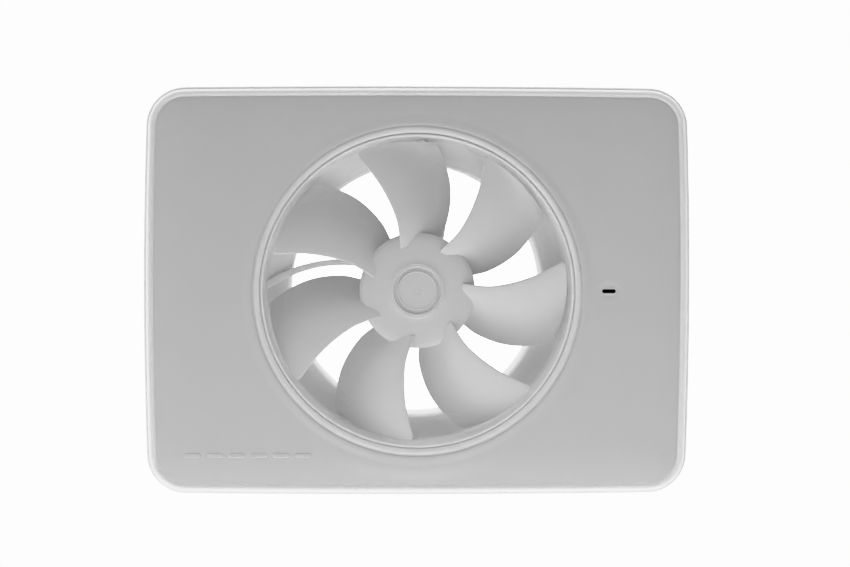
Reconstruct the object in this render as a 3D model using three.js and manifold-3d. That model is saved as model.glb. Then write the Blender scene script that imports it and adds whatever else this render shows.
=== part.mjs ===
// Wall-mounted axial extract fan: a shallow rectangular casing with an open seven-blade impeller.
// Millimetres. The fan turns about the Y axis, the front faces -Y and +Z is up. The plane y = 0 is
// the wall that the casing lies against, and the duct spigot reaches into the wall along +Y.

import * as THREE from 'three';
import { mergeVertices } from 'three/addons/utils/BufferGeometryUtils.js';
import Module from 'manifold-3d';

const wasm = await Module();
wasm.setup();

// ---------------------------------------------------------------- driving dimensions

const GAP = 0.3;                 // between neighbouring pieces
const SEAT = 0.1;                // between a piece and what it rests on

const PLATE_WIDTH = 209;
const PLATE_HEIGHT = 156.5;
const CORNER_RADIUS = 15.2;
const SIDE_BULGE = 1.06;         // how far the left and right sides bow outwards
const TOP_BULGE = 0.6;           // how far the top and bottom bow outwards
const SIDE_STEPS = 3;            // outline points on half a side
const CORNER_STEPS = 6;          // outline points round a corner

const CREST_Y = -27;             // foremost point: the crest of the inlet ring
const PANEL_Y = -26.4;           // flat middle of the front panel
const BORDER_Y = -25.4;          // crest of the rounded border round the panel
const PANEL_BACK_Y = -23.9;      // inner side of the front panel
const SEAM_Y = -23.2;            // where the casing's wall ends and the cover begins
const LIP_BACK_Y = -19.7;       // how far the cover's locating lip reaches back
const COVER_INSET = 1.2;         // the cover's outline inside the casing's
const CASE_WALL = 2.2;
const SHELF_Y = -2.5;            // front side of the casing's back plate

const THROAT_RADIUS = 59;        // round the blade tips
const THROAT_OUTER = 60.6;
const FLANGE_RADIUS = 66.5;      // the duct's flange, screwed to the back plate
const FLANGE_FRONT_Y = -4.5;
const THROAT_LIP_OUTER = 59.65;  // where the throat passes through the cover
const THROAT_LIP_Y = -26.3;
const COVER_HOLE = 60.1;
const SPIGOT_INNER = 49.6;
const SPIGOT_OUTER = 51;
const SPIGOT_END_Y = 27;
const DUCT_SIDES = 48;
const MOTOR_SIDES = 28;          // round the hub, the motor and its seat

const TIP_RADIUS = 57.3;
const BLADE_COUNT = 7;
const HUB_RADIUS = 22.2;
const HUB_FACE_Y = -21.2;
const HUB_BACK_Y = -6.2;
const HUB_BORE = 19.9;

const STRUT_COUNT = 4;
const STRUT_FRONT_Y = -4.6;
const STRUT_BACK_Y = 8;
const MOTOR_SEAT_RADIUS = 21.5;
const MOTOR_SEAT_Y = -4.8;
const FLANGE_SEAT_Y = -3.3;      // floor of the recess under the bearing tube's flange

const SHAFT_RADIUS = 1.5;
const SHAFT_SIDES = 14;
const BEARING_BORE = 1.6;
const BEARING_OUTER = 4;
const CORE_FRONT_Y = -16.2;
const CORE_BACK_Y = -9.8;
const TOOTH_COUNT = 6;

const BOARD_BACK_Y = -7;
const BOARD_THICKNESS = 1.6;
const BOARD_FRONT_Y = BOARD_BACK_Y - BOARD_THICKNESS;
const PART_BACK_Y = BOARD_FRONT_Y - SEAT;
const BOARD_SCREWS = [[70.6, -45.2], [93.8, -45.2], [94.5, 46.5], [58.5, 46.5]];
const LID_SCREW = [90.5, -4.5];

const WALL_HOLE_X = 88;
const WALL_HOLE_Z = 64;
const WALL_HOLE_RADIUS = 2.3;
const SCREW_HOLE = 1.4;          // radius of the pilot holes in the bosses
const GROMMET = [64, -64];
const GROMMET_HOLE = 6.5;
const CLAMP_X = 50;
const CLAMP_Z = -64;
const CLAMP_SCREW_SPREAD = 8.5;

const SLOT_X = 73;               // sensor slot, level with the fan axis
const SLOT_LENGTH = 5.25;
const SLOT_HEIGHT = 1.5;

const DEGREE = Math.PI / 180;

// ---------------------------------------------------------------- solids and booleans

// Joins the shared corners, drops collapsed faces and turns the faces outwards.
function closedGeometry(geometry) {
  const loose = geometry.clone();
  loose.deleteAttribute('normal');
  loose.deleteAttribute('uv');
  const joined = mergeVertices(loose, 1e-4);
  const source = joined.index.array;
  const corner = (i) => new THREE.Vector3().fromBufferAttribute(joined.attributes.position, source[i]);
  const faces = [];
  let volume = 0;
  for (let i = 0; i < source.length; i += 3) {
    const [a, b, c] = [source[i], source[i + 1], source[i + 2]];
    if (a !== b && b !== c && c !== a) {
      faces.push([a, b, c]);
      volume += corner(i).dot(corner(i + 1).cross(corner(i + 2)));
    }
  }
  joined.setIndex(faces.flatMap((face) => (volume < 0 ? [face[0], face[2], face[1]] : face)));
  return joined;
}

function solid(geometry) {
  const closed = closedGeometry(geometry);
  return new wasm.Manifold(new wasm.Mesh({
    numProp: 3,
    vertProperties: new Float32Array(closed.attributes.position.array),
    triVerts: new Uint32Array(closed.index.array),
  }));
}

function geometryOf(manifold) {
  const mesh = manifold.getMesh();
  const geometry = new THREE.BufferGeometry();
  geometry.setAttribute('position', new THREE.BufferAttribute(mesh.vertProperties, 3));
  geometry.setIndex(new THREE.BufferAttribute(mesh.triVerts, 1));
  return geometry;
}

function union(shapes) {
  return shapes.reduce((sum, shape) => sum.add(shape));
}

// The geometry of a solid after each of the closed cutting shapes is taken from it.
function without(body, cuts) {
  return geometryOf(cuts.reduce((left, cut) => left.subtract(solid(cut)), body));
}

// ---------------------------------------------------------------- shape helpers

// A profile of [radius, y] points turned about the Y axis; it closes on itself or on the axis.
function turned(profile, sides) {
  const points = profile.map(([radius, y]) => new THREE.Vector2(radius, y));
  if (profile[0][0] > 0) {
    points.push(points[0].clone());
  }
  return new THREE.LatheGeometry(points, sides);
}

function post(x, z, radius, frontY, backY, sides = 10) {
  const geometry = new THREE.CylinderGeometry(radius, radius, backY - frontY, sides);
  return geometry.translate(x, (frontY + backY) / 2, z);
}

function block(lowX, highX, frontY, backY, lowZ, highZ) {
  const geometry = new THREE.BoxGeometry(highX - lowX, backY - frontY, highZ - lowZ);
  return geometry.translate((lowX + highX) / 2, (frontY + backY) / 2, (lowZ + highZ) / 2);
}

// A block given by its middle on the board and its size, standing on the board.
function onBoard(x, z, width, height, depth) {
  const box = new THREE.BoxGeometry(width, depth, height);
  return box.translate(x, PART_BACK_Y - depth / 2, z);
}

function polar(radius, angle) {
  return [radius * Math.cos(angle), radius * Math.sin(angle)];
}

// Round posts of one size, one at each [x, z] place.
function postsAt(places, radius, frontY, backY) {
  return places.map(([x, z]) => post(x, z, radius, frontY, backY));
}

// A shape drawn in X and Z, as deep as asked, with its back at backY.
function slab(shape, backY, depth, curveSegments = 12) {
  const geometry = new THREE.ExtrudeGeometry(shape, { depth, bevelEnabled: false, curveSegments });
  return geometry.rotateX(Math.PI / 2).translate(0, backY, 0);
}

function capsule(x, z, length, height) {
  const reach = (length - height) / 2;
  const shape = new THREE.Shape();
  shape.absarc(x + reach, z, height / 2, -Math.PI / 2, Math.PI / 2);
  shape.absarc(x - reach, z, height / 2, Math.PI / 2, Math.PI * 1.5);
  shape.closePath();
  return shape;
}

// The casing's outline, drawn in by inset: four bowed sides with round corners.
function plateOutline(inset) {
  const halfWidth = PLATE_WIDTH / 2 - inset;
  const halfHeight = PLATE_HEIGHT / 2 - inset;
  const radius = Math.max(CORNER_RADIUS - inset, 2);
  const cornerX = halfWidth - SIDE_BULGE - radius;
  const cornerZ = halfHeight - TOP_BULGE - radius;
  const quarter = [];
  for (let i = 0; i < SIDE_STEPS; i++) {
    const t = i / SIDE_STEPS;
    quarter.push([halfWidth - SIDE_BULGE * t * t, cornerZ * t]);
  }
  for (let i = 0; i <= CORNER_STEPS; i++) {
    const angle = (Math.PI / 2) * (i / CORNER_STEPS);
    quarter.push([cornerX + radius * Math.cos(angle), cornerZ + radius * Math.sin(angle)]);
  }
  for (let i = SIDE_STEPS - 1; i > 0; i--) {
    const t = i / SIDE_STEPS;
    quarter.push([cornerX * t, halfHeight - TOP_BULGE * t * t]);
  }
  const backwards = quarter.slice(1).reverse();
  return [
    ...quarter,
    [0, halfHeight],
    ...backwards.map(([x, z]) => [-x, z]),
    ...quarter.map(([x, z]) => [-x, -z]),
    [0, -halfHeight],
    ...backwards.map(([x, z]) => [x, -z]),
  ];
}

// Outlines stacked from front to back and closed at both ends; each level is [inset, y].
function plateLoft(levels) {
  const rings = levels.map(([inset, y]) => plateOutline(inset).map(([x, z]) => [x, y, z]));
  const count = rings[0].length;
  const corners = [...rings.flat(), [0, levels[0][1], 0], [0, levels.at(-1)[1], 0]];
  const frontMiddle = count * rings.length;
  const faces = [];
  for (let i = 0; i < count; i++) {
    const next = (i + 1) % count;
    for (let ring = 0; ring + 1 < rings.length; ring++) {
      const near = ring * count;
      const far = near + count;
      faces.push(near + i, far + i, near + next, near + next, far + i, far + next);
    }
    const last = count * (rings.length - 1);
    faces.push(frontMiddle, i, next, frontMiddle + 1, last + next, last + i);
  }
  const geometry = new THREE.BufferGeometry();
  geometry.setAttribute('position', new THREE.Float32BufferAttribute(corners.flat(), 3));
  geometry.setIndex(faces);
  return geometry;
}

// A smooth curve through [at, value] pairs.
function smoothValue(pairs, at) {
  const last = pairs.length - 1;
  const slope = (i) => {
    const before = pairs[Math.max(i - 1, 0)];
    const after = pairs[Math.min(i + 1, last)];
    return (after[1] - before[1]) / (after[0] - before[0]);
  };
  let i = 0;
  while (i < last - 1 && at > pairs[i + 1][0]) {
    i++;
  }
  const width = pairs[i + 1][0] - pairs[i][0];
  const t = (at - pairs[i][0]) / width;
  const ease = t * t * (3 - 2 * t);
  return pairs[i][1] * (1 - ease) + pairs[i + 1][1] * ease
    + width * t * (1 - t) * (slope(i) * (1 - t) - slope(i + 1) * t);
}

// ---------------------------------------------------------------- front cover

// The front face drawn in from its edge: rounded border, narrow groove, then a crowned panel.
const COVER_FACE = [
  [24, PANEL_Y],
  [13, PANEL_Y + 0.25],
  [8, PANEL_Y + 0.75],
  [4.3, PANEL_Y + 1.35],
  [3.9, PANEL_Y + 1.55],
  [3.5, BORDER_Y + 0.35],
  [2.8, BORDER_Y],
  [1.9, BORDER_Y + 0.35],
  [1.4, BORDER_Y + 0.9],
  [COVER_INSET, BORDER_Y + 1.5],
];
const LIP_OUTER_INSET = CASE_WALL + GAP;
const LIP_INNER_INSET = 3.9;

// The inlet ring: a gentle rise, a fine groove, then a round crest down to the hole's edge.
const INLET_RING = [
  [67.4, PANEL_Y + 1.2],
  [66.8, PANEL_Y + 0.1],
  [63.4, PANEL_Y - 0.35],
  [63, PANEL_Y - 0.1],
  [62.5, PANEL_Y - 0.1],
  [62.2, PANEL_Y - 0.4],
  [61.2, CREST_Y],
  [60.4, CREST_Y + 0.4],
  [COVER_HOLE, CREST_Y + 1.1],
  [COVER_HOLE, PANEL_BACK_Y + 0.4],
  [67.4, PANEL_BACK_Y + 0.4],
];

const RING_SEAT_RADIUS = 63.8;    // opening in the panel that the ring stands in
const DISH_REACH = [4.85, 0.62, 3.85];
const MARK = { x: -64.4, z: -62.7, dashes: 6, length: 6.3, gap: 2.1, height: 1.6, rise: 0.25 };

function raisedMark() {
  const pitch = MARK.length + MARK.gap;
  const first = MARK.x - (pitch * (MARK.dashes - 1)) / 2;
  return Array.from({ length: MARK.dashes }, (_, i) => {
    const dash = capsule(first + i * pitch, MARK.z, MARK.length, MARK.height);
    return solid(slab(dash, PANEL_Y + 0.6, 0.6 + MARK.rise, 3));
  });
}

// Snap tabs that reach back inside the casing's top and bottom walls.
function snapTabs() {
  const outer = PLATE_HEIGHT / 2 - LIP_OUTER_INSET - 0.5;
  const inner = PLATE_HEIGHT / 2 - LIP_INNER_INSET - 0.3;
  const tabs = [];
  for (const x of [-60, 60]) {
    tabs.push(solid(block(x - 6, x + 6, LIP_BACK_Y - 1.4, LIP_BACK_Y + 6, inner, outer)));
    tabs.push(solid(block(x - 6, x + 6, LIP_BACK_Y - 1.4, LIP_BACK_Y + 6, -outer, -inner)));
  }
  return tabs;
}

function frontCover() {
  const skirtBackY = SEAM_Y - GAP;
  const shell = solid(plateLoft([...COVER_FACE, [COVER_INSET, skirtBackY]]));
  const lip = solid(plateLoft([[LIP_OUTER_INSET, skirtBackY - 1], [LIP_OUTER_INSET, LIP_BACK_Y]]));
  const cavity = solid(plateLoft([[LIP_INNER_INSET, PANEL_BACK_Y], [LIP_INNER_INSET, LIP_BACK_Y + 1]]));
  const ringSeat = solid(post(0, 0, RING_SEAT_RADIUS, CREST_Y - 1, PANEL_BACK_Y + 1, DUCT_SIDES));
  const plate = shell.add(lip).subtract(cavity).subtract(ringSeat);
  const ring = solid(turned(INLET_RING, DUCT_SIDES));
  const dish = new THREE.SphereGeometry(1, 16, 10).scale(...DISH_REACH);
  const slot = slab(capsule(SLOT_X, 0, SLOT_LENGTH, SLOT_HEIGHT), 0, 30, 6);
  const body = union([plate, ring, ...raisedMark(), ...snapTabs()]);
  return without(body, [dish.translate(SLOT_X, PANEL_Y - 0.1, 0), slot]);
}

function sensorFilter() {
  return slab(capsule(SLOT_X, 0, 8.4, 4), PANEL_BACK_Y + SEAT + 0.5, 0.5, 6);
}

// ---------------------------------------------------------------- fan duct and back case

// Inner side of the air path from the front lip to the end of the spigot.
const DUCT_INSIDE = [
  [THROAT_RADIUS, THROAT_LIP_Y + 0.4],
  [THROAT_RADIUS, -5.5],
  [58.3, -4],
  [56, -2.6],
  [52.4, -1.2],
  [50.3, 0],
  [SPIGOT_INNER, 1.2],
  [SPIGOT_INNER, SPIGOT_END_Y],
];
const DUCT_OUTSIDE = [
  [SPIGOT_OUTER, SPIGOT_END_Y],
  [SPIGOT_OUTER, 0],
  [THROAT_OUTER, 0],
  [THROAT_OUTER, SHELF_Y - SEAT],
  [FLANGE_RADIUS, SHELF_Y - SEAT],
  [FLANGE_RADIUS, FLANGE_FRONT_Y],
  [THROAT_OUTER, FLANGE_FRONT_Y],
  [THROAT_OUTER, PANEL_BACK_Y + 1.6],
  [THROAT_LIP_OUTER, PANEL_BACK_Y + 0.9],
  [THROAT_LIP_OUTER, THROAT_LIP_Y + 0.3],
  [THROAT_LIP_OUTER - 0.3, THROAT_LIP_Y],
];

const MOTOR_SEAT = [
  [0, FLANGE_SEAT_Y + 1.7],
  [4, FLANGE_SEAT_Y + 1.7],
  [4, FLANGE_SEAT_Y],
  [9.4, FLANGE_SEAT_Y],
  [9.4, MOTOR_SEAT_Y],
  [MOTOR_SEAT_RADIUS, MOTOR_SEAT_Y],
  [MOTOR_SEAT_RADIUS, STRUT_BACK_Y],
  [MOTOR_SEAT_RADIUS - 1.8, STRUT_BACK_Y],
  [MOTOR_SEAT_RADIUS - 1.8, 0.6],
  [0, 0.6],
];

// Middle line of the first strut: it leaves the motor seat turned back and sweeps round as it goes out.
const STRUT_START_RADIUS = 20;
const STRUT_END_RADIUS = 60.2;
const STRUT_START_ANGLE = 153;
const STRUT_SWEEP = 26.5;

function strutPoint(radius, sideways) {
  const way = (radius - STRUT_START_RADIUS) / (STRUT_END_RADIUS - STRUT_START_RADIUS);
  const angle = (STRUT_START_ANGLE + STRUT_SWEEP * way) * DEGREE;
  const turn = Math.atan2(radius * STRUT_SWEEP * DEGREE, STRUT_END_RADIUS - STRUT_START_RADIUS);
  const across = angle + turn + Math.PI / 2;
  return [
    radius * Math.cos(angle) + sideways * Math.cos(across),
    radius * Math.sin(angle) + sideways * Math.sin(across),
  ];
}

function strutShape() {
  const steps = 5;
  const side = (sign) => Array.from({ length: steps + 1 }, (_, i) => {
    const way = i / steps;
    const radius = STRUT_START_RADIUS + (STRUT_END_RADIUS - STRUT_START_RADIUS) * way;
    return strutPoint(radius, sign * (1.05 + 0.5 * way * way));
  });
  const outline = [...side(-1), ...side(1).reverse()];
  return new THREE.Shape(outline.map(([x, z]) => new THREE.Vector2(x, z)));
}

function struts() {
  const reach = DUCT_INSIDE.map(([radius, y]) => [radius + 0.6, y]);
  const airPath = solid(turned([[0, -26], ...reach, [0, SPIGOT_END_Y]], DUCT_SIDES));
  const one = slab(strutShape(), STRUT_BACK_Y, STRUT_BACK_Y - STRUT_FRONT_Y);
  const ribs = Array.from({ length: STRUT_COUNT }, (_, i) => {
    return solid(one.clone().rotateY((i * 2 * Math.PI) / STRUT_COUNT)).intersect(airPath);
  });
  const seatCore = solid(post(0, 0, MOTOR_SEAT_RADIUS - 1, -10, 12, MOTOR_SIDES));
  return ribs.map((rib) => rib.subtract(seatCore));
}

const LEAD_Y = -3.7;
const LEAD_RADIUS = 1;
const LEAD_OFFSET = 3.1;
const LEAD_STRUT_TURN = 180;     // the lead follows the strut across the duct from the first
const CONNECTOR_X = 70.4;

// The motor lead's route beside its strut, from under the motor board to the main board's connector.
function leadRoute() {
  const points = [];
  for (const radius of [24, 31, 38, 45, 52, 57.5]) {
    const [x, z] = strutPoint(radius, LEAD_OFFSET);
    const angle = LEAD_STRUT_TURN * DEGREE;
    points.push(new THREE.Vector3(
      x * Math.cos(angle) - z * Math.sin(angle), LEAD_Y, x * Math.sin(angle) + z * Math.cos(angle)));
  }
  const start = points[0].clone().setY(0).setLength(14.5).setY(LEAD_Y);
  const end = new THREE.Vector3(CONNECTOR_X - 3.3, LEAD_Y, points.at(-1).z + 1.2);
  return new THREE.CatmullRomCurve3([start, ...points, end]);
}

function tubeAlong(curve, radius, steps, sides) {
  const section = new THREE.Shape();
  for (let i = 0; i <= sides; i++) {
    const angle = (i * 2 * Math.PI) / sides;
    const corner = [radius * Math.cos(angle), radius * Math.sin(angle)];
    if (i === 0) {
      section.moveTo(...corner);
    } else {
      section.lineTo(...corner);
    }
  }
  return new THREE.ExtrudeGeometry(section, { extrudePath: curve, steps, bevelEnabled: false });
}

function motorLead() {
  return tubeAlong(leadRoute(), LEAD_RADIUS, 14, 8);
}

function wallScrewPlaces() {
  return [[-1, -1], [1, -1], [1, 1], [-1, 1]].map(([x, z]) => [x * WALL_HOLE_X, z * WALL_HOLE_Z]);
}

// Three places round the axis, one of them straight above it.
function threeRound(radius) {
  return [90, 210, 330].map((angle) => polar(radius, angle * DEGREE));
}

function motorScrewPlaces() {
  return threeRound(7.2);
}

function clampScrewPlaces() {
  return [-1, 1].map((side) => [CLAMP_X, CLAMP_Z + side * CLAMP_SCREW_SPREAD]);
}

function ductScrewPlaces() {
  return threeRound((THROAT_OUTER + FLANGE_RADIUS) / 2 + 0.4);
}

function bosses() {
  const backY = SHELF_Y + 1;
  const boardBosses = postsAt([...BOARD_SCREWS, LID_SCREW], 3, BOARD_BACK_Y + SEAT, backY);
  const clampBosses = postsAt(clampScrewPlaces(), 2.9, -6, backY);
  const wallBosses = postsAt(wallScrewPlaces(), 5, -4.2, backY);
  return [...boardBosses, ...clampBosses, ...wallBosses].map(solid);
}

function leadChannel() {
  return tubeAlong(leadRoute(), LEAD_RADIUS + GAP + 0.1, 14, 8);
}

// One moulding from the front lip to the spigot's end, with the struts and the motor seat inside it.
function fanDuct() {
  const duct = solid(turned([...DUCT_INSIDE, ...DUCT_OUTSIDE], DUCT_SIDES));
  const seat = solid(turned(MOTOR_SEAT, MOTOR_SIDES));
  const motorHoles = postsAt(motorScrewPlaces(), 1.2, -10, -0.2);
  const flangeHoles = postsAt(ductScrewPlaces(), SCREW_HOLE, -10, 2);
  return without(union([duct, seat, ...struts()]), [leadChannel(), ...motorHoles, ...flangeHoles]);
}

// The tray's outer side from its rounded front rim to the wall; each level is [inset, y].
const CASE_WALL_FACE = [
  [1, SEAM_Y],
  [0.35, SEAM_Y + 0.35],
  [0, SEAM_Y + 1.1],
  [0, -0.8],
  [0.8, 0],
];

// A tray with bosses, round holes for the duct, the cable and the screws, and a groove for the gasket.
function backCase() {
  const tray = solid(plateLoft(CASE_WALL_FACE));
  const room = solid(plateLoft([[CASE_WALL, SEAM_Y - 1], [CASE_WALL, SHELF_Y]]));
  const bossPlaces = [...BOARD_SCREWS, LID_SCREW, ...clampScrewPlaces()];
  return without(union([tray.subtract(room), ...bosses()]), [
    post(0, 0, THROAT_OUTER + GAP, -10, 10, DUCT_SIDES),
    turned([[70.2, -1.2], [75.2, -1.2], [75.2, 1], [70.2, 1]], 32),
    leadChannel(),
    ...postsAt(bossPlaces, SCREW_HOLE, -10, -2.9),
    ...postsAt(ductScrewPlaces(), SCREW_HOLE, -10, -0.4),
    ...postsAt(wallScrewPlaces(), WALL_HOLE_RADIUS, -10, 2),
    post(...GROMMET, GROMMET_HOLE, -10, 2, 16),
  ]);
}

function wallGasket() {
  return turned([[70.5, -1.1], [74.9, -1.1], [74.9, 0], [70.5, 0]], 32);
}

// A rubber ring with two lips round the spigot.
function spigotSeal() {
  const inner = SPIGOT_OUTER + GAP;
  const web = inner + 0.9;
  const tip = inner + 2;
  return turned([[inner, 15], [tip, 16.2], [web, 16.6], [web, 18.2], [tip, 19.4], [inner, 20.2]], 32);
}

function cableGrommet() {
  const bore = 3.5;
  const outer = GROMMET_HOLE - GAP;
  const flangeBackY = SHELF_Y - SEAT;
  const flange = [[7.4, -4.4], [8, -3.8], [8, flangeBackY]];
  const ring = turned([[bore, -4.4], ...flange, [outer, flangeBackY], [outer, -0.2], [bore, -0.2]], 16);
  return ring.translate(GROMMET[0], 0, GROMMET[1]);
}

// A saddle that presses the mains cable between two bosses.
function cableClamp() {
  const underside = [[2, -9.2], [3.8, -8], [4.6, -6.1], [11, -6.1]];
  const top = [[11, -8.4], [5.8, -8.4], [5, -9.8], [2.8, -11.2]];
  const half = [...underside, ...top];
  const otherHalf = half.slice().reverse().map(([z, y]) => [-z, y]);
  const shape = new THREE.Shape([...half, ...otherHalf].map(([z, y]) => new THREE.Vector2(z, y)));
  const bar = new THREE.ExtrudeGeometry(shape, { depth: 7, bevelEnabled: false });
  const placed = solid(bar.rotateY(-Math.PI / 2).translate(CLAMP_X + 3.5, 0, CLAMP_Z));
  return without(placed, postsAt(clampScrewPlaces(), SCREW_HOLE, -12, -5));
}

// ---------------------------------------------------------------- screws

// A pan-head screw with a cross recess; its head rests on the plane y = 0 and the shank points to +Y.
function panScrew(headRadius, shankRadius, length) {
  const headHeight = headRadius * 0.55;
  const head = [[0, -headHeight], [headRadius * 0.7, -headHeight * 0.9], [headRadius, -headHeight * 0.4]];
  const shank = [[shankRadius, 0], [shankRadius, length - shankRadius], [0, length]];
  const body = solid(turned([...head, [headRadius, 0], ...shank], 8));
  const arm = headRadius * 0.55;
  const half = headRadius * 0.12;
  const deep = -headHeight * 0.35;
  const crossbar = solid(block(-arm, arm, -headHeight - 1, deep, -half, half));
  const upright = solid(block(-half, half, -headHeight - 1, deep, -arm, arm));
  return geometryOf(body.subtract(crossbar.add(upright)));
}

// ---------------------------------------------------------------- impeller

// Blade sections from root to tip: angles of the two edges in degrees and how far forward they lie.
const BLADE_SECTIONS = [
  { radius: 17.4, leading: 9.3, trailing: -36, frontY: HUB_FACE_Y + 0.2, backY: -8.2 },
  { radius: 22.2, leading: 5.6, trailing: -36.4, frontY: -22.7, backY: -7.8 },
  { radius: 28.5, leading: 3.8, trailing: -36.6, frontY: -23.8, backY: -7.4 },
  { radius: 42, leading: 6.6, trailing: -30.9, frontY: -24.5, backY: -7.2 },
  { radius: TIP_RADIUS, leading: 12, trailing: -20.3, frontY: -24.4, backY: -7.2 },
];
const BLADE_CAMBER = 1.55;       // above 1 the blade lies flat at its leading edge and steepens behind it
const BLADE_THICKNESS = 1.9;
const BLADE_RADII = [17.4, 19.6, 22.2, 28.5, 36, 46, 55.9, TIP_RADIUS];
const BLADE_CHORD = [0, 0.05, 0.22, 0.48, 0.75, 1];
const TIP_ROUNDING = 1.6;        // degrees taken off the leading corner at the tip

function bladeValue(key, radius) {
  return smoothValue(BLADE_SECTIONS.map((section) => [section.radius, section[key]]), radius);
}

function bladePoint(radius, way, side) {
  const leading = bladeValue('leading', radius) - (radius === TIP_RADIUS ? TIP_ROUNDING : 0);
  const angle = (leading + (bladeValue('trailing', radius) - leading) * way) * DEGREE;
  const span = (bladeValue('trailing', radius) - leading) * DEGREE * radius;
  const drop = bladeValue('backY', radius) - bladeValue('frontY', radius);
  const y = bladeValue('frontY', radius) + drop * way ** BLADE_CAMBER;
  const slope = drop * BLADE_CAMBER * Math.max(way, 0.02) ** (BLADE_CAMBER - 1);
  const steep = Math.atan2(slope, Math.abs(span));
  const half = (BLADE_THICKNESS / 2) * (0.3 + 0.7 * Math.sin(Math.PI * Math.min(0.9, 0.08 + way * 0.85)));
  const along = angle - (side * half * Math.sin(steep)) / radius;
  return [radius * Math.cos(along), y - side * half * Math.cos(steep), radius * Math.sin(along)];
}

function bladeGeometry() {
  const rows = BLADE_RADII.length;
  const columns = BLADE_CHORD.length;
  const corners = [1, -1].flatMap((side) => (
    BLADE_RADII.flatMap((radius) => BLADE_CHORD.map((way) => bladePoint(radius, way, side)))));
  const front = (row, column) => row * columns + column;
  const back = (row, column) => rows * columns + front(row, column);
  const faces = [];
  const quad = (a, b, c, d) => faces.push(a, b, c, a, c, d);
  const lastRow = rows - 1;
  const lastColumn = columns - 1;
  for (let row = 0; row < lastRow; row++) {
    const up = row + 1;
    for (let column = 0; column < lastColumn; column++) {
      const next = column + 1;
      quad(front(row, column), front(row, next), front(up, next), front(up, column));
      quad(back(row, column), back(up, column), back(up, next), back(row, next));
    }
    quad(front(row, 0), front(up, 0), back(up, 0), back(row, 0));
    quad(front(up, lastColumn), front(row, lastColumn), back(row, lastColumn), back(up, lastColumn));
  }
  for (let column = 0; column < lastColumn; column++) {
    const next = column + 1;
    quad(front(0, next), front(0, column), back(0, column), back(0, next));
    quad(front(lastRow, column), front(lastRow, next), back(lastRow, next), back(lastRow, column));
  }
  const geometry = new THREE.BufferGeometry();
  geometry.setAttribute('position', new THREE.Float32BufferAttribute(corners.flat(), 3));
  geometry.setIndex(faces);
  return geometry;
}

// The hub cup: a round raised ring in the middle of its face and a bevelled rim.
const HUB = [
  [0, HUB_FACE_Y + 0.2],
  [7.2, HUB_FACE_Y + 0.2],
  [7.5, HUB_FACE_Y + 0.6],
  [8.4, HUB_FACE_Y + 0.6],
  [8.8, HUB_FACE_Y],
  [9.5, HUB_FACE_Y - 0.3],
  [10.3, HUB_FACE_Y],
  [21, HUB_FACE_Y],
  [21.9, HUB_FACE_Y + 0.4],
  [HUB_RADIUS, HUB_FACE_Y + 1.2],
  [HUB_RADIUS, HUB_BACK_Y],
  [HUB_BORE, HUB_BACK_Y],
  [HUB_BORE, HUB_FACE_Y + 1.6],
  [0, HUB_FACE_Y + 1.6],
];

function impeller() {
  const hub = solid(turned(HUB, MOTOR_SIDES));
  const bore = solid(post(0, 0, HUB_BORE, HUB_FACE_Y + 1.6, 0, MOTOR_SIDES));
  const blade = bladeGeometry();
  const blades = Array.from({ length: BLADE_COUNT }, (_, i) => {
    return solid(blade.clone().rotateY((i * 2 * Math.PI) / BLADE_COUNT)).subtract(bore);
  });
  return geometryOf(union([hub, ...blades]));
}

// ---------------------------------------------------------------- motor

function rotorCup() {
  const outer = HUB_BORE - GAP;
  const frontY = HUB_FACE_Y + 1.9;
  const inner = outer - 1;
  const hole = SHAFT_RADIUS + GAP;
  const wall = [[outer, frontY], [outer, -7.6], [inner, -7.6], [inner, frontY + 1]];
  return turned([[hole, frontY], ...wall, [hole, frontY + 1]], MOTOR_SIDES);
}

function magnetRing() {
  return turned([[16.7, -17.6], [18.2, -17.6], [18.2, -8.4], [16.7, -8.4]], MOTOR_SIDES);
}

function motorShaft() {
  const groove = SHAFT_RADIUS - 0.35;
  const nose = [[0, -19.2], [1.2, -19.2], [SHAFT_RADIUS, -18.9]];
  const clipGroove = [[SHAFT_RADIUS, -3.2], [groove, -3.2], [groove, -2.6], [SHAFT_RADIUS, -2.6]];
  return turned([...nose, ...clipGroove, [SHAFT_RADIUS, -2.1], [0, -2.1]], SHAFT_SIDES);
}

// A C-shaped clip in the groove at the shaft's rear end.
function shaftClip() {
  const shape = new THREE.Shape();
  shape.absarc(0, 0, 3, 30 * DEGREE, 330 * DEGREE, false);
  shape.absarc(0, 0, 1.3, 330 * DEGREE, 30 * DEGREE, true);
  shape.closePath();
  return slab(shape, -2.7, 0.4, 8);
}

// A small ball bearing with a shallow shield groove on both sides.
function bearing(frontY) {
  const backY = frontY + 3.4;
  const side = (y, depth) => [[BEARING_BORE, y], [2.3, y], [2.8, y + depth], [3.3, y], [BEARING_OUTER, y]];
  return turned([...side(frontY, 0.3), ...side(backY, -0.3).reverse()], SHAFT_SIDES);
}

function bearingTube() {
  const inner = BEARING_OUTER + SEAT;
  const flangeBackY = FLANGE_SEAT_Y - SEAT;
  const outside = [[5.4, -17.4], [5.4, -5], [9, -5], [9, flangeBackY]];
  const tube = solid(turned([[inner, -17.4], ...outside, [inner, flangeBackY]], SHAFT_SIDES));
  return without(tube, postsAt(motorScrewPlaces(), 1.2, -8, 0));
}

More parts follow.
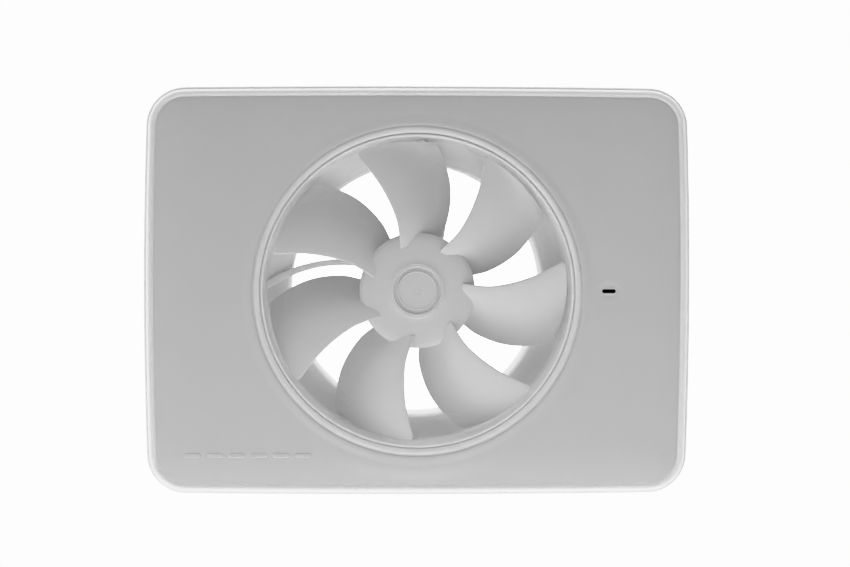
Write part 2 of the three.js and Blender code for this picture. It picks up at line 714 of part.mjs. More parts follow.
function statorCore() {
  const shape = new THREE.Shape();
  const pitch = (2 * Math.PI) / TOOTH_COUNT;
  const yoke = 8;
  const shoe = 14.4;
  const outer = 15.9;
  const neckHalf = 1.5;
  for (let i = 0; i < TOOTH_COUNT; i++) {
    const middle = i * pitch;
    const yokeHalf = Math.asin(neckHalf / yoke);
    const shoeNeckHalf = Math.asin(neckHalf / shoe);
    const shoeHalf = 25 * DEGREE;
    if (i === 0) {
      shape.moveTo(...polar(yoke, middle - yokeHalf));
    } else {
      shape.lineTo(...polar(yoke, middle - yokeHalf));
    }
    shape.lineTo(...polar(shoe, middle - shoeNeckHalf));
    shape.lineTo(...polar(shoe, middle - shoeHalf));
    for (const step of [-1, -0.5, 0, 0.5, 1]) {
      shape.lineTo(...polar(outer, middle + step * shoeHalf));
    }
    shape.lineTo(...polar(shoe, middle + shoeHalf));
    shape.lineTo(...polar(shoe, middle + shoeNeckHalf));
    shape.lineTo(...polar(yoke, middle + yokeHalf));
  }
  shape.closePath();
  const bore = new THREE.Path();
  bore.absarc(0, 0, 5.4 + GAP, 0, 2 * Math.PI, true);
  shape.holes.push(bore);
  return slab(shape, CORE_BACK_Y, CORE_BACK_Y - CORE_FRONT_Y, 10);
}

// One coil round the neck of the tooth at the given angle.
function statorCoil(angle) {
  const halfHeight = (CORE_BACK_Y - CORE_FRONT_Y) / 2;
  const across = 3.4;
  const along = halfHeight + 1.2;
  const corner = 1.1;
  const shape = new THREE.Shape();
  shape.absarc(across - corner, along - corner, corner, 0, Math.PI / 2);
  shape.absarc(corner - across, along - corner, corner, Math.PI / 2, Math.PI);
  shape.absarc(corner - across, corner - along, corner, Math.PI, Math.PI * 1.5);
  shape.absarc(across - corner, corner - along, corner, Math.PI * 1.5, Math.PI * 2);
  shape.closePath();
  const toothHalf = [1.8, halfHeight + GAP];
  const window = [[-1, -1], [1, -1], [1, 1], [-1, 1]];
  shape.holes.push(new THREE.Path(
    window.map(([u, v]) => new THREE.Vector2(u * toothHalf[0], v * toothHalf[1]))));
  const coil = new THREE.ExtrudeGeometry(shape, { depth: 4.4, bevelEnabled: false, curveSegments: 3 });
  coil.rotateY(Math.PI / 2).translate(8.9, (CORE_FRONT_Y + CORE_BACK_Y) / 2, 0);
  return coil.rotateY(-angle);
}

function motorBoard() {
  const shape = new THREE.Shape();
  shape.absarc(0, 0, 18, 0, 2 * Math.PI, false);
  const hole = new THREE.Path();
  hole.absarc(0, 0, 6, 0, 2 * Math.PI, true);
  shape.holes.push(hole);
  return slab(shape, -6.9, 1, 14);
}

// ---------------------------------------------------------------- main board and its parts

function mainBoard() {
  const reach = 63.5;
  const inner = 54;
  const outer = 98;
  const half = 50;
  const turn = Math.acos(inner / reach);
  const shape = new THREE.Shape();
  shape.moveTo(inner, half);
  shape.absarc(0, 0, reach, turn, -turn, true);
  shape.lineTo(inner, -half);
  shape.lineTo(outer, -half);
  shape.lineTo(outer, half);
  shape.closePath();
  const board = solid(slab(shape, BOARD_BACK_Y, BOARD_THICKNESS, 6));
  return without(board, postsAt([...BOARD_SCREWS, LID_SCREW], 1.5, -10, -5));
}

const TERMINAL = { x: 59.6, z: -42, width: 10, height: 15.3, depth: 11, pitch: 5.08 };

function terminalPlaces() {
  return [-1, 0, 1].map((step) => [TERMINAL.x + 1.2, TERMINAL.z + step * TERMINAL.pitch]);
}

function terminalBlock() {
  const body = solid(onBoard(TERMINAL.x, TERMINAL.z, TERMINAL.width, TERMINAL.height, TERMINAL.depth));
  const frontY = PART_BACK_Y - TERMINAL.depth;
  return without(body, terminalPlaces().flatMap(([x, z]) => [
    post(x, z, 1.9, frontY - 1, frontY + 5),
    block(TERMINAL.x - 8, TERMINAL.x - 1.5, frontY + 3.6, frontY + 7.4, z - 1.7, z + 1.7),
  ]));
}

// An upright can with a rolled groove near the board.
function capacitorCan(x, z, radius, height) {
  const frontY = PART_BACK_Y - height;
  const top = [[0, frontY], [radius - 0.5, frontY], [radius, frontY + 0.5]];
  const roll = [[radius, PART_BACK_Y - 2], [radius - 0.4, PART_BACK_Y - 1.5], [radius, PART_BACK_Y - 1]];
  return turned([...top, ...roll, [radius, PART_BACK_Y], [0, PART_BACK_Y]], 14).translate(x, 0, z);
}

// A ferrite core of two halves round a wound bobbin.
function transformer() {
  const core = solid(onBoard(86.5, -20, 17, 8, 12.4));
  const winding = solid(block(79.5, 93.5, PART_BACK_Y - 11, PART_BACK_Y - 2, -28, -12));
  const base = solid(onBoard(86.5, -20, 16, 17, 2.5));
  return geometryOf(union([core, winding, base]));
}

function choke() {
  const ring = new THREE.TorusGeometry(4.6, 2.3, 7, 16).rotateX(Math.PI / 2);
  return ring.translate(75.5, PART_BACK_Y - 2.3, -36.5);
}

// A glass fuse with a metal cap at each end, lying along X.
function fuse() {
  const profile = [[0, 0], [2.5, 0], [2.5, 3], [2.2, 3.3], [2.2, 8.7], [2.5, 9], [2.5, 12], [0, 12]];
  return turned(profile, 14).rotateZ(-Math.PI / 2).translate(78.6, PART_BACK_Y - 2.6, -45.4);
}

function electronicsLid() {
  const frontY = PANEL_BACK_Y + 0.9;
  const backY = BOARD_FRONT_Y - GAP;
  const shell = solid(block(66, 98.4, frontY, backY, -49.6, -8.2));
  const room = solid(block(67.5, 96.9, frontY + 1.5, backY + 1, -48.1, -9.7));
  const ear = solid(block(86, 95, backY - 1.3, backY, -9, -1));
  return without(shell.subtract(room).add(ear), [post(...LID_SCREW, 1.4, -14, -6)]);
}

function sensorBoard() {
  return block(64, 84, -21.6, -20.6, -7, 9);
}

// ---------------------------------------------------------------- materials and assembly

function material(color, roughness, metalness = 0) {
  return new THREE.MeshStandardMaterial({ color, roughness, metalness });
}

const WHITE_PLASTIC = material(0xe9eaea, 0.5);
const BLACK_MESH = material(0x0c0c0d, 0.8);
const FOAM = material(0x3c3d3f, 0.95);
const RUBBER = material(0x232425, 0.85);
const GREY_PLASTIC = material(0xb9bcbe, 0.6);
const DARK_PLASTIC = material(0x202224, 0.5);
const GREEN_PLASTIC = material(0x3f7f57, 0.5);
const YELLOW_PLASTIC = material(0xd9b645, 0.5);
const BOARD_GREEN = material(0x1f5d3d, 0.45);
const STEEL = material(0xb7babd, 0.35, 1);
const CORE_STEEL = material(0x70757a, 0.45, 1);
const COPPER = material(0xb26a3c, 0.35, 1);
const BRASS = material(0xc3a35a, 0.35, 1);
const FERRITE = material(0x2d2e31, 0.7);
const ALUMINIUM = material(0xc9ccd0, 0.35, 1);
const GLASS = material(0xe3ecec, 0.1);
const CABLE_JACKET = material(0x3a3b3d, 0.6);

const fan = new THREE.Group();

function addPiece(name, geometry, finish, place = [0, 0, 0]) {
  const mesh = new THREE.Mesh(closedGeometry(geometry), finish);
  mesh.name = name;
  mesh.position.set(...place);
  fan.add(mesh);
}

function addScrews(name, geometry, headY, places) {
  places.forEach(([x, z], i) => {
    const label = places.length > 1 ? `${name}_${i + 1}` : name;
    addPiece(label, geometry, STEEL, [x, headY, z]);
  });
}

function addCover() {
  addPiece('front_cover', frontCover(), WHITE_PLASTIC);
  addPiece('sensor_filter', sensorFilter(), BLACK_MESH);
}

function addCasing() {
  addPiece('back_case', backCase(), WHITE_PLASTIC);
  addPiece('fan_duct', fanDuct(), WHITE_PLASTIC);
  addScrews('duct_screw', panScrew(2.2, 1.1, 3.9), FLANGE_FRONT_Y - SEAT, ductScrewPlaces());
  addPiece('wall_gasket', wallGasket(), FOAM);
  addPiece('spigot_seal', spigotSeal(), RUBBER);
  addPiece('cable_grommet', cableGrommet(), RUBBER);
  addPiece('cable_clamp', cableClamp(), GREY_PLASTIC);
  addScrews('clamp_screw', panScrew(2.4, 1.1, 5), -8.5, clampScrewPlaces());
}

function addRotor() {
  addPiece('impeller', impeller(), WHITE_PLASTIC);
  addPiece('rotor_cup', rotorCup(), STEEL);
  addPiece('magnet_ring', magnetRing(), FERRITE);
  addPiece('motor_shaft', motorShaft(), STEEL);
  addPiece('shaft_clip', shaftClip(), STEEL);
}

function addStator() {
  addPiece('bearing_tube', bearingTube(), BRASS);
  addScrews('motor_screw', panScrew(1.7, 0.9, 3.8), -5.1, motorScrewPlaces());
  addPiece('front_bearing', bearing(-17.2), STEEL);
  addPiece('rear_bearing', bearing(-6.9), STEEL);
  addPiece('stator_core', statorCore(), CORE_STEEL);
  for (let i = 0; i < TOOTH_COUNT; i++) {
    addPiece(`stator_coil_${i + 1}`, statorCoil((i * 2 * Math.PI) / TOOTH_COUNT), COPPER);
  }
  addPiece('motor_pcb', motorBoard(), BOARD_GREEN);
  addPiece('motor_driver', block(-15.5, -11.5, -6.8, -5.9, -2, 2), DARK_PLASTIC);
  addPiece('motor_lead', motorLead(), CABLE_JACKET);
}

function addPowerSupply() {
  addPiece('main_pcb', mainBoard(), BOARD_GREEN);
  addScrews('pcb_screw', panScrew(2.4, 1.1, 5), BOARD_FRONT_Y - SEAT, BOARD_SCREWS);
  addPiece('terminal_block', terminalBlock(), GREEN_PLASTIC);
  const terminalSeatY = PART_BACK_Y - TERMINAL.depth + 2.2;
  addScrews('terminal_screw', panScrew(1.6, 0.9, 2.6), terminalSeatY, terminalPlaces());
  addPiece('mains_fuse', fuse(), GLASS);
  addPiece('emc_choke', choke(), COPPER);
  addPiece('x2_capacitor', onBoard(90, -38, 12, 6, 10.5), YELLOW_PLASTIC);
  addPiece('bridge_rectifier', onBoard(87, -32, 6, 4.5, 2.2), DARK_PLASTIC);
  addPiece('bulk_capacitor', capacitorCan(72.4, -23.5, 4.2, 12.5), ALUMINIUM);
  addPiece('transformer', transformer(), FERRITE);
  addPiece('supply_controller', onBoard(72.4, -14, 5, 4, 1.5), DARK_PLASTIC);
  addPiece('electronics_lid', electronicsLid(), GREY_PLASTIC);
  addScrews('lid_screw', panScrew(2.4, 1.1, 6.6), BOARD_FRONT_Y - GAP - 1.3 - SEAT, [LID_SCREW]);
}

function addControls() {
  addPiece('output_capacitor', capacitorCan(90, 12, 4, 10), ALUMINIUM);
  addPiece('microcontroller', onBoard(79, 24, 7, 7, 1), DARK_PLASTIC);
  addPiece('mode_jumper', onBoard(90, 30, 7.6, 2.6, 6), DARK_PLASTIC);
  addPiece('sensor_header', block(76, 83, -20.5, PART_BACK_Y, 4, 6.6), DARK_PLASTIC);
  addPiece('sensor_pcb', sensorBoard(), BOARD_GREEN);
  addPiece('humidity_sensor', block(71.5, 74.5, -22.7, -21.7, -1.5, 1.5), STEEL);
  const connector = block(CONNECTOR_X - 3, CONNECTOR_X + 3, -6.9, SHELF_Y - GAP, -8, 1);
  addPiece('motor_connector', connector, GREY_PLASTIC);
}

addCover();
addCasing();
addRotor();
addStator();
addPowerSupply();
addControls();

export default fan;
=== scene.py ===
# The looks of the wall-mounted axial fan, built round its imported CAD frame.
# The frame is in metres. Sizes below are in millimetres and become metres in make_object().
# The fan turns about the Y axis, the front faces -Y and the wall is the plane y = 0.

import math

import bmesh
import bpy
import numpy as np
from mathutils import Matrix, Vector


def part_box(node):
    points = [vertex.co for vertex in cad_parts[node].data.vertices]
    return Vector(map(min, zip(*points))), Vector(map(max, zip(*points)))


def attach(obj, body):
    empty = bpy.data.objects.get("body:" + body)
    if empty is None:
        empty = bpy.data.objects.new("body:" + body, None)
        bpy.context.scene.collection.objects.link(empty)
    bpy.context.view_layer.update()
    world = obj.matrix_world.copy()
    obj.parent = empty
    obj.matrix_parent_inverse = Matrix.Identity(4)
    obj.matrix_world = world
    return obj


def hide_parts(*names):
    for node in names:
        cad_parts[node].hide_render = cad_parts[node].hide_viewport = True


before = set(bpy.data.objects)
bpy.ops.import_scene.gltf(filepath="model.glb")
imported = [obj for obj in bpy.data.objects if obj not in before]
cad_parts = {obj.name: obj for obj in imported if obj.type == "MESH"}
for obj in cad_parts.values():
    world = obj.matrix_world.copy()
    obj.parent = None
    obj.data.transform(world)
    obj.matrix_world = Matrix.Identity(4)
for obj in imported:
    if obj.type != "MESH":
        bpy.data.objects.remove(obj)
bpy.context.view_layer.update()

MM = 0.001


def box_mm(node):
    low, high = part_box(node)
    return low / MM, high / MM


# ------------------------------------------------------------------ driving dimensions

CASE_LOW, CASE_HIGH = box_mm("back_case")
DUCT_LOW, DUCT_HIGH = box_mm("fan_duct")

HALF_WIDTH = CASE_HIGH.x
HALF_HEIGHT = CASE_HIGH.z
CORNER_RADIUS = 15.2
SIDE_BULGE = 1.06             # how far the left and right sides bow outwards
TOP_BULGE = 0.6               # how far the top and bottom bow outwards

CREST_Y = box_mm("front_cover")[0].y    # foremost point: the crest of the inlet ring
PANEL_Y = CREST_Y + 0.6       # flat middle of the front panel
BORDER_Y = CREST_Y + 1.6      # crest of the rounded border round the panel
PANEL_BACK_Y = CREST_Y + 3.1
SEAM_Y = CASE_LOW.y           # front edge of the back case's wall
LIP_BACK_Y = SEAM_Y + 3.5
COVER_INSET = 1.2
CASE_WALL = 2.2
SHELF_Y = -2.5                # front side of the case's back plate

COVER_HOLE = 60.1
RING_OUTER = 67
THROAT_RADIUS = 59
THROAT_OUTER = 60.6
THROAT_LIP_OUTER = 59.65
THROAT_LIP_Y = DUCT_LOW.y
FLANGE_RADIUS = 66.5
FLANGE_FRONT_Y = -4.5
SPIGOT_INNER = 49.6
SPIGOT_OUTER = 51
SPIGOT_END_Y = DUCT_HIGH.y

TIP_RADIUS = 57.3
BLADE_COUNT = 7
HUB_RADIUS = 22.2
HUB_FACE_Y = -21.2
HUB_BACK_Y = -6.2
HUB_BORE = 19.9

STRUT_COUNT = 4
STRUT_FRONT_Y = -4.6
STRUT_BACK_Y = 8
MOTOR_SEAT_RADIUS = 21.5
MOTOR_SEAT_Y = -4.8

SLOT_X = 73
SLOT_LENGTH = 5.25
SLOT_HEIGHT = 1.5

DEGREE = math.pi / 180
SHARP = 32 * DEGREE           # edges sharper than this stay crisp


# ------------------------------------------------------------------ mesh helpers

def make_object(name, corners, faces, sharp):
    """A smooth-shaded mesh object from corners in millimetres, with crisp edges above an angle."""
    mesh = bpy.data.meshes.new(name)
    mesh.from_pydata([tuple(c * MM for c in corner) for corner in corners], [], faces)
    piece = bpy.data.objects.new(name, mesh)
    bpy.context.scene.collection.objects.link(piece)
    tidy_mesh(piece, sharp)
    return piece


MERGE = 0.004                 # corners closer than this become one


def tidy_mesh(piece, sharp=SHARP):
    """Joins doubled corners, turns the faces outwards and sets the shading."""
    work = bmesh.new()
    work.from_mesh(piece.data)
    bmesh.ops.remove_doubles(work, verts=work.verts, dist=MERGE * MM)
    bmesh.ops.dissolve_degenerate(work, edges=work.edges, dist=MERGE * MM * 0.5)
    bmesh.ops.recalc_face_normals(work, faces=work.faces)
    work.to_mesh(piece.data)
    work.free()
    piece.data.shade_smooth()
    piece.data.set_sharp_from_angle(angle=sharp)
    piece.data.update()


def loft(name, rings, wrap=False, sharp=SHARP):
    """Rings of equally many points joined in order; the ends are closed, or joined to each other by wrap."""
    count = len(rings[0])
    corners = [point for ring in rings for point in ring]
    faces = []
    pairs = len(rings) if wrap else len(rings) - 1
    for row in range(pairs):
        here = row * count
        there = ((row + 1) % len(rings)) * count
        for i in range(count):
            j = (i + 1) % count
            faces.append((here + i, here + j, there + j, there + i))
    if not wrap:
        faces.append(tuple(range(count)))
        faces.append(tuple(range(count * (len(rings) - 1), count * len(rings))))
    return make_object(name, corners, faces, sharp)


def turned(name, profile, sides=144):
    """A closed profile of (radius, y) turned about the Y axis."""
    rings = []
    for k in range(sides):
        angle = 2 * math.pi * k / sides
        rings.append([(r * math.cos(angle), y, r * math.sin(angle)) for r, y in profile])
    return loft(name, rings, wrap=True)


def rounded_profile(profile, radius, steps=4):
    """The closed profile with each corner rounded by the radius, or by less on short sides."""
    result = []
    count = len(profile)
    for i in range(count):
        before, here, after = (Vector(profile[(i + k) % count]) for k in (-1, 0, 1))
        if here.x < 1e-6:
            result.append(tuple(here))
            continue
        reach = min(radius, (before - here).length * 0.45, (after - here).length * 0.45)
        start = here + (before - here).normalized() * reach
        end = here + (after - here).normalized() * reach
        for step in range(steps + 1):
            t = step / steps
            point = start * (1 - t) ** 2 + here * 2 * t * (1 - t) + end * t * t
            result.append((point.x, point.y))
    return result


def level(outline, y):
    """An outline in X and Z as a ring at one depth."""
    return [(x, y, z) for x, z in outline]


def prism(name, outline, front_y, back_y):
    """An outline in X and Z between two planes."""
    return loft(name, [level(outline, front_y), level(outline, back_y)])


def circle(x, z, radius, count, start=0.0, end=2 * math.pi):
    """Points on a circle in X and Z; an arc has points on both its ends."""
    full = abs(end - start - 2 * math.pi) < 1e-9
    last = count if full else count - 1
    return [(x + radius * math.cos(start + (end - start) * k / last),
             z + radius * math.sin(start + (end - start) * k / last)) for k in range(count)]


def capsule(x, z, length, height, steps=14):
    """Outline of a slot with round ends, lying along X."""
    reach = (length - height) / 2
    half = math.pi / 2
    return (circle(x + reach, z, height / 2, steps, -half, half)
            + circle(x - reach, z, height / 2, steps, half, 3 * half))


def rounded_box(low, high, radius, steps=3):
    """Outline of a rectangle in X and Z with round corners."""
    (x0, z0), (x1, z1) = low, high
    outline = []
    for x, z, turn in ((x1 - radius, z1 - radius, 0), (x0 + radius, z1 - radius, 1),
                       (x0 + radius, z0 + radius, 2), (x1 - radius, z0 + radius, 3)):
        outline += circle(x, z, radius, steps + 1, turn * math.pi / 2, (turn + 1) * math.pi / 2)
    return outline


def block(name, x, y, z, edge):
    """A box between (low, high) pairs with its edges rounded."""
    radius = min(edge, (x[1] - x[0]) / 3, (z[1] - z[0]) / 3, (y[1] - y[0]) / 3)
    rings = []
    for inset, depth in ((radius, y[0]), (radius * 0.3, y[0] + radius * 0.3), (0, y[0] + radius),
                         (0, y[1] - radius), (radius * 0.3, y[1] - radius * 0.3), (radius, y[1])):
        corner = max(radius - inset * 0.5, 0.02)
        outline = rounded_box((x[0] + inset, z[0] + inset), (x[1] - inset, z[1] - inset), corner)
        rings.append(level(outline, depth))
    return loft(name, rings, sharp=50 * DEGREE)


def box_part(node, name, edge):
    """A block with rounded edges in the place of a CAD node."""
    low, high = box_mm(node)
    return block(name, (low.x, high.x), (low.y, high.y), (low.z, high.z), edge)


def apply_modifiers(piece):
    bpy.context.view_layer.update()
    depsgraph = bpy.context.evaluated_depsgraph_get()
    result = bpy.data.meshes.new_from_object(piece.evaluated_get(depsgraph))
    piece.modifiers.clear()
    old = piece.data
    piece.data = result
    bpy.data.meshes.remove(old)


def combine(piece, others, operation):
    """Exact boolean of the piece with each of the others, which are used up."""
    for other in others:
        change = piece.modifiers.new("cut", "BOOLEAN")
        change.operation = operation
        change.solver = "EXACT"
        change.object = other
        apply_modifiers(piece)
        remove(other)
    tidy_mesh(piece)
    return piece


def remove(piece):
    mesh = piece.data
    bpy.data.objects.remove(piece)
    if mesh.users == 0:
        bpy.data.meshes.remove(mesh)


def joined(name, pieces):
    """One object made of several separate closed shells, each of which keeps its own material."""
    mesh = bpy.data.meshes.new(name)
    work = bmesh.new()
    for piece in pieces:
        first = len(work.faces)
        work.from_mesh(piece.data)
        if piece.data.materials:
            material = piece.data.materials[0]
            if material.name not in mesh.materials:
                mesh.materials.append(material)
            work.faces.ensure_lookup_table()
            for face in work.faces[first:]:
                face.material_index = mesh.materials.find(material.name)
    work.to_mesh(mesh)
    work.free()
    whole = bpy.data.objects.new(name, mesh)
    bpy.context.scene.collection.objects.link(whole)
    for piece in pieces:
        remove(piece)
    mesh.shade_smooth()
    mesh.set_sharp_from_angle(angle=SHARP)
    return whole


def move_to(piece, low, high):
    """Moves a piece made on the Y axis to the middle of a CAD box."""
    middle = ((low.x + high.x) / 2 * MM, 0, (low.z + high.z) / 2 * MM)
    piece.data.transform(Matrix.Translation(middle))
    return piece


def copies_round(piece, count):
    """The piece and its copies, spread evenly round the Y axis."""
    pieces = [piece]
    for i in range(1, count):
        twin = bpy.data.objects.new(f"{piece.name}_{i}", piece.data.copy())
        bpy.context.scene.collection.objects.link(twin)
        twin.data.transform(Matrix.Rotation(i * 2 * math.pi / count, 4, "Y"))
        pieces.append(twin)
    return pieces


def smoothstep(low, high, value):
    t = np.clip((value - low) / (high - low), 0, 1)
    return t * t * (3 - 2 * t)


def smooth_value(pairs, at):
    """A smooth curve through (at, value) pairs."""
    last = len(pairs) - 1

    def slope(i):
        before, after = pairs[max(i - 1, 0)], pairs[min(i + 1, last)]
        return (after[1] - before[1]) / (after[0] - before[0])

    i = 0
    while i < last - 1 and at > pairs[i + 1][0]:
        i += 1
    width = pairs[i + 1][0] - pairs[i][0]
    t = (at - pairs[i][0]) / width
    ease = t * t * (3 - 2 * t)
    return (pairs[i][1] * (1 - ease) + pairs[i + 1][1] * ease
            + width * t * (1 - t) * (slope(i) * (1 - t) - slope(i + 1) * t))


# ------------------------------------------------------------------ the plate's outline

def plate_outline(inset, side_steps=40, corner_steps=24):
    """The case's outline drawn in by inset: four bowed sides with round corners, from +X towards +Z."""
    half_x = HALF_WIDTH - inset
    half_z = HALF_HEIGHT - inset
    radius = max(CORNER_RADIUS - inset, 2)
    corner_x = half_x - SIDE_BULGE - radius
    corner_z = half_z - TOP_BULGE - radius
    quarter = [(half_x - SIDE_BULGE * (i / side_steps) ** 2, corner_z * i / side_steps)
               for i in range(side_steps)]
    for i in range(corner_steps + 1):
        angle = math.pi / 2 * i / corner_steps
        quarter.append((corner_x + radius * math.cos(angle), corner_z + radius * math.sin(angle)))
    for i in range(side_steps - 1, -1, -1):
        t = i / side_steps
        quarter.append((corner_x * t, half_z - TOP_BULGE * t * t))
    points = quarter[:-1]
    points += [(-x, z) for x, z in reversed(quarter[1:])]
    points += [(-x, -z) for x, z in quarter[:-1]]
    points += [(x, -z) for x, z in reversed(quarter[1:])]
    return points


OUTLINE = np.array(plate_outline(0))


def edge_distance(x, z):
    """How far each point lies inside the case's outline."""
    start = OUTLINE
    end = np.roll(OUTLINE, -1, axis=0)
    way = end - start
    point = np.stack([x, z], axis=-1)[:, None, :] - start[None]
    along = np.clip((point * way).sum(-1) / (way * way).sum(-1), 0, 1)
    return np.linalg.norm(point - along[..., None] * way, axis=-1).min(axis=1)


def spoke_angles():
    """Directions from the fan's axis, close together at the corners and about the sensor slot."""
    outline = np.array(plate_outline(4))
    angles = list(np.arctan2(outline[:, 1], outline[:, 0]))
    dense = math.atan2(7.5, SLOT_X)
    angles = [a for a in angles if abs(a) > dense]
    angles += list(np.linspace(-dense, dense, 43))
    angles.sort()
    kept = [angles[0]]
    for angle in angles[1:]:
        if angle - kept[-1] > 0.25 * DEGREE:
            kept.append(angle)
    return np.array(kept)


SPOKES = spoke_angles()


def outline_on_spokes(inset):
    outline = np.array(plate_outline(inset))
    angles = np.arctan2(outline[:, 1], outline[:, 0])
    order = np.argsort(angles)
    radii = np.hypot(outline[:, 0], outline[:, 1])
    reach = np.interp(SPOKES, angles[order], radii[order], period=2 * math.pi)
    return np.stack([reach * np.cos(SPOKES), reach * np.sin(SPOKES)], axis=-1)


def circle_on_spokes(radius):
    return np.stack([radius * np.cos(SPOKES), radius * np.sin(SPOKES)], axis=-1)


def ring_of(points, y):
    heights = np.broadcast_to(y, len(points))
    return [(float(x), float(h), float(z)) for (x, z), h in zip(points, heights)]


# ------------------------------------------------------------------ front cover

# How far the inlet ring's surface stands off the panel (negative is forward), by radius.
RING_RISE = [
    (COVER_HOLE, 0.5), (60.35, 0.0), (60.7, -0.32), (61.2, -0.6), (61.8, -0.58), (62.3, -0.4), (62.6, -0.08),
    (62.9, -0.02), (63.2, -0.3), (63.6, -0.42), (64.5, -0.36), (65.4, -0.24), (66.2, -0.06), (RING_OUTER, 0),
]
CROWN_DEPTH = 1.4             # how far the panel falls back at its edge
CROWN_WIDTH = 19
CROWN_POWER = 2.6
GROOVE_INSET = 3.9            # the groove between the panel and its border
PANEL_INSET = 4.3
LIP_INSET = CASE_WALL + 0.3   # outer side of the lip that goes into the case


def panel_height(points):
    """Height of the panel's front: crowned towards the border, flat round the ring, dished at the slot."""
    x, z = points[:, 0], points[:, 1]
    rise = np.clip(1 - (edge_distance(x, z) - PANEL_INSET) / CROWN_WIDTH, 0, 1)
    crown = CROWN_DEPTH * rise ** CROWN_POWER
    near_ring = smoothstep(73.5, 66.5, np.hypot(x, z))
    dish = np.clip(1 - ((x - SLOT_X) / 4.9) ** 2 - (z / 3.9) ** 2, 0, 1) ** 1.5 * 0.55
    past_end = np.maximum(np.abs(x - SLOT_X) - (SLOT_LENGTH - SLOT_HEIGHT) / 2, 0)
    off_slot = np.hypot(past_end, z) - SLOT_HEIGHT / 2
    rim = 0.3 * np.exp(-((off_slot - 0.25) / 0.3) ** 2)
    return PANEL_Y + crown * (1 - near_ring) + dish - rim


def front_cover():
    """The cover as one skin: out over its front, round the border and lip, and back in behind."""
    rings = [ring_of(circle_on_spokes(radius), PANEL_Y + rise) for radius, rise in RING_RISE]
    inner = circle_on_spokes(RING_OUTER)
    outer = outline_on_spokes(8)
    fractions = list(np.linspace(0, 0.42, 27))[1:] + list(np.linspace(0.42, 1, 12))[1:]
    for way in fractions:
        points = inner + (outer - inner) * way
        rings.append(ring_of(points, panel_height(points)))
    for inset in (7, 6, 5.2, 4.7, PANEL_INSET):
        points = outline_on_spokes(inset)
        rings.append(ring_of(points, panel_height(points)))
    groove = PANEL_Y + CROWN_DEPTH + 0.2
    border = [(4.1, groove - 0.05), (GROOVE_INSET, groove), (3.72, groove - 0.1), (3.5, BORDER_Y + 0.3),
              (3.2, BORDER_Y + 0.08), (2.8, BORDER_Y), (2.35, BORDER_Y + 0.1), (1.95, BORDER_Y + 0.32),
              (1.6, BORDER_Y + 0.66), (1.35, BORDER_Y + 1.05), (COVER_INSET, BORDER_Y + 1.5),
              (COVER_INSET, SEAM_Y - 0.5), (COVER_INSET + 0.2, SEAM_Y - 0.3), (LIP_INSET, SEAM_Y - 0.3),
              (LIP_INSET, LIP_BACK_Y - 0.2), (LIP_INSET + 0.2, LIP_BACK_Y), (3.7, LIP_BACK_Y),
              (3.9, LIP_BACK_Y - 0.2), (3.9, PANEL_BACK_Y + 0.5), (4.3, PANEL_BACK_Y)]
    rings += [ring_of(outline_on_spokes(inset), y) for inset, y in border]
    inner = circle_on_spokes(RING_OUTER + 0.4)
    rings += [ring_of(inner * (1 - way) + outer * way, PANEL_BACK_Y) for way in (1, 0.5, 0)]
    for radius, back in ((RING_OUTER, 0.4), (COVER_HOLE + 0.15, 0.4), (COVER_HOLE, 0.25)):
        rings.append(ring_of(circle_on_spokes(radius), PANEL_BACK_Y + back))
    cover = loft("cover_shell", rings, wrap=True)
    slot = prism("slot_cut", capsule(SLOT_X, 0, SLOT_LENGTH, SLOT_HEIGHT), CREST_Y - 2, PANEL_BACK_Y + 1)
    combine(cover, [slot], "DIFFERENCE")
    combine(cover, raised_mark() + snap_tabs(), "UNION")
    # The border and the ring crest get a painted highlight and a smoother surface.
    polish_and_highlight_rims(cover)
    return cover


def polish_and_highlight_rims(cover):
    """Marks the border and the crest of the inlet ring as smoother than the panel, and as where a painted
    highlight makes them lighter.
    """
    x, z = np.array([vertex.co for vertex in cover.data.vertices])[:, [0, 2]].T / MM
    # Mask of the painted highlight on the border and, at 0.6, on the ring crest; it also makes them smoother.
    border = 1 - smoothstep(GROOVE_INSET + 0.05, GROOVE_INSET + 0.25, edge_distance(x, z))
    ring = 0.6 * (1 - smoothstep(61.7, 62.7, np.hypot(x, z)))
    rim_polish_and_highlight = cover.data.attributes.new("rim_polish_and_highlight", "FLOAT", "POINT")
    rim_polish_and_highlight.data.foreach_set("value", np.maximum(border, ring))


# A row of six plain dashes.
MARK_X = -64.4
MARK_Z = -62.7
MARK_DASHES = 6
MARK_LENGTH = 6.3
MARK_GAP = 2.1
MARK_HEIGHT = 1.6
MARK_RISE = 0.35


def raised_mark():
    pitch = MARK_LENGTH + MARK_GAP
    dashes = []
    for i in range(MARK_DASHES):
        x = MARK_X + (i - (MARK_DASHES - 1) / 2) * pitch
        surface = float(panel_height(np.array([[x, MARK_Z]]))[0])
        rings = []
        for shrink, lift in ((0, -0.9), (0, 0), (0.06, 0.14), (0.2, MARK_RISE)):
            outline = capsule(x, MARK_Z, MARK_LENGTH - 2 * shrink, MARK_HEIGHT - 2 * shrink, 10)
            rings.append(level(outline, surface - lift))
        dashes.append(loft(f"dash_{i}", rings))
    return dashes


def snap_tabs():
    """Four tabs behind the lip that spring into the case."""
    outer = HALF_HEIGHT - LIP_INSET - 0.5
    inner = HALF_HEIGHT - 3.9 - 0.3
    depth = (LIP_BACK_Y - 1.4, LIP_BACK_Y + 6)
    return [block("tab", (x - 6, x + 6), depth, sorted((side * inner, side * outer)), 0.25)
            for x in (-60, 60) for side in (-1, 1)]


# ------------------------------------------------------------------ fan duct

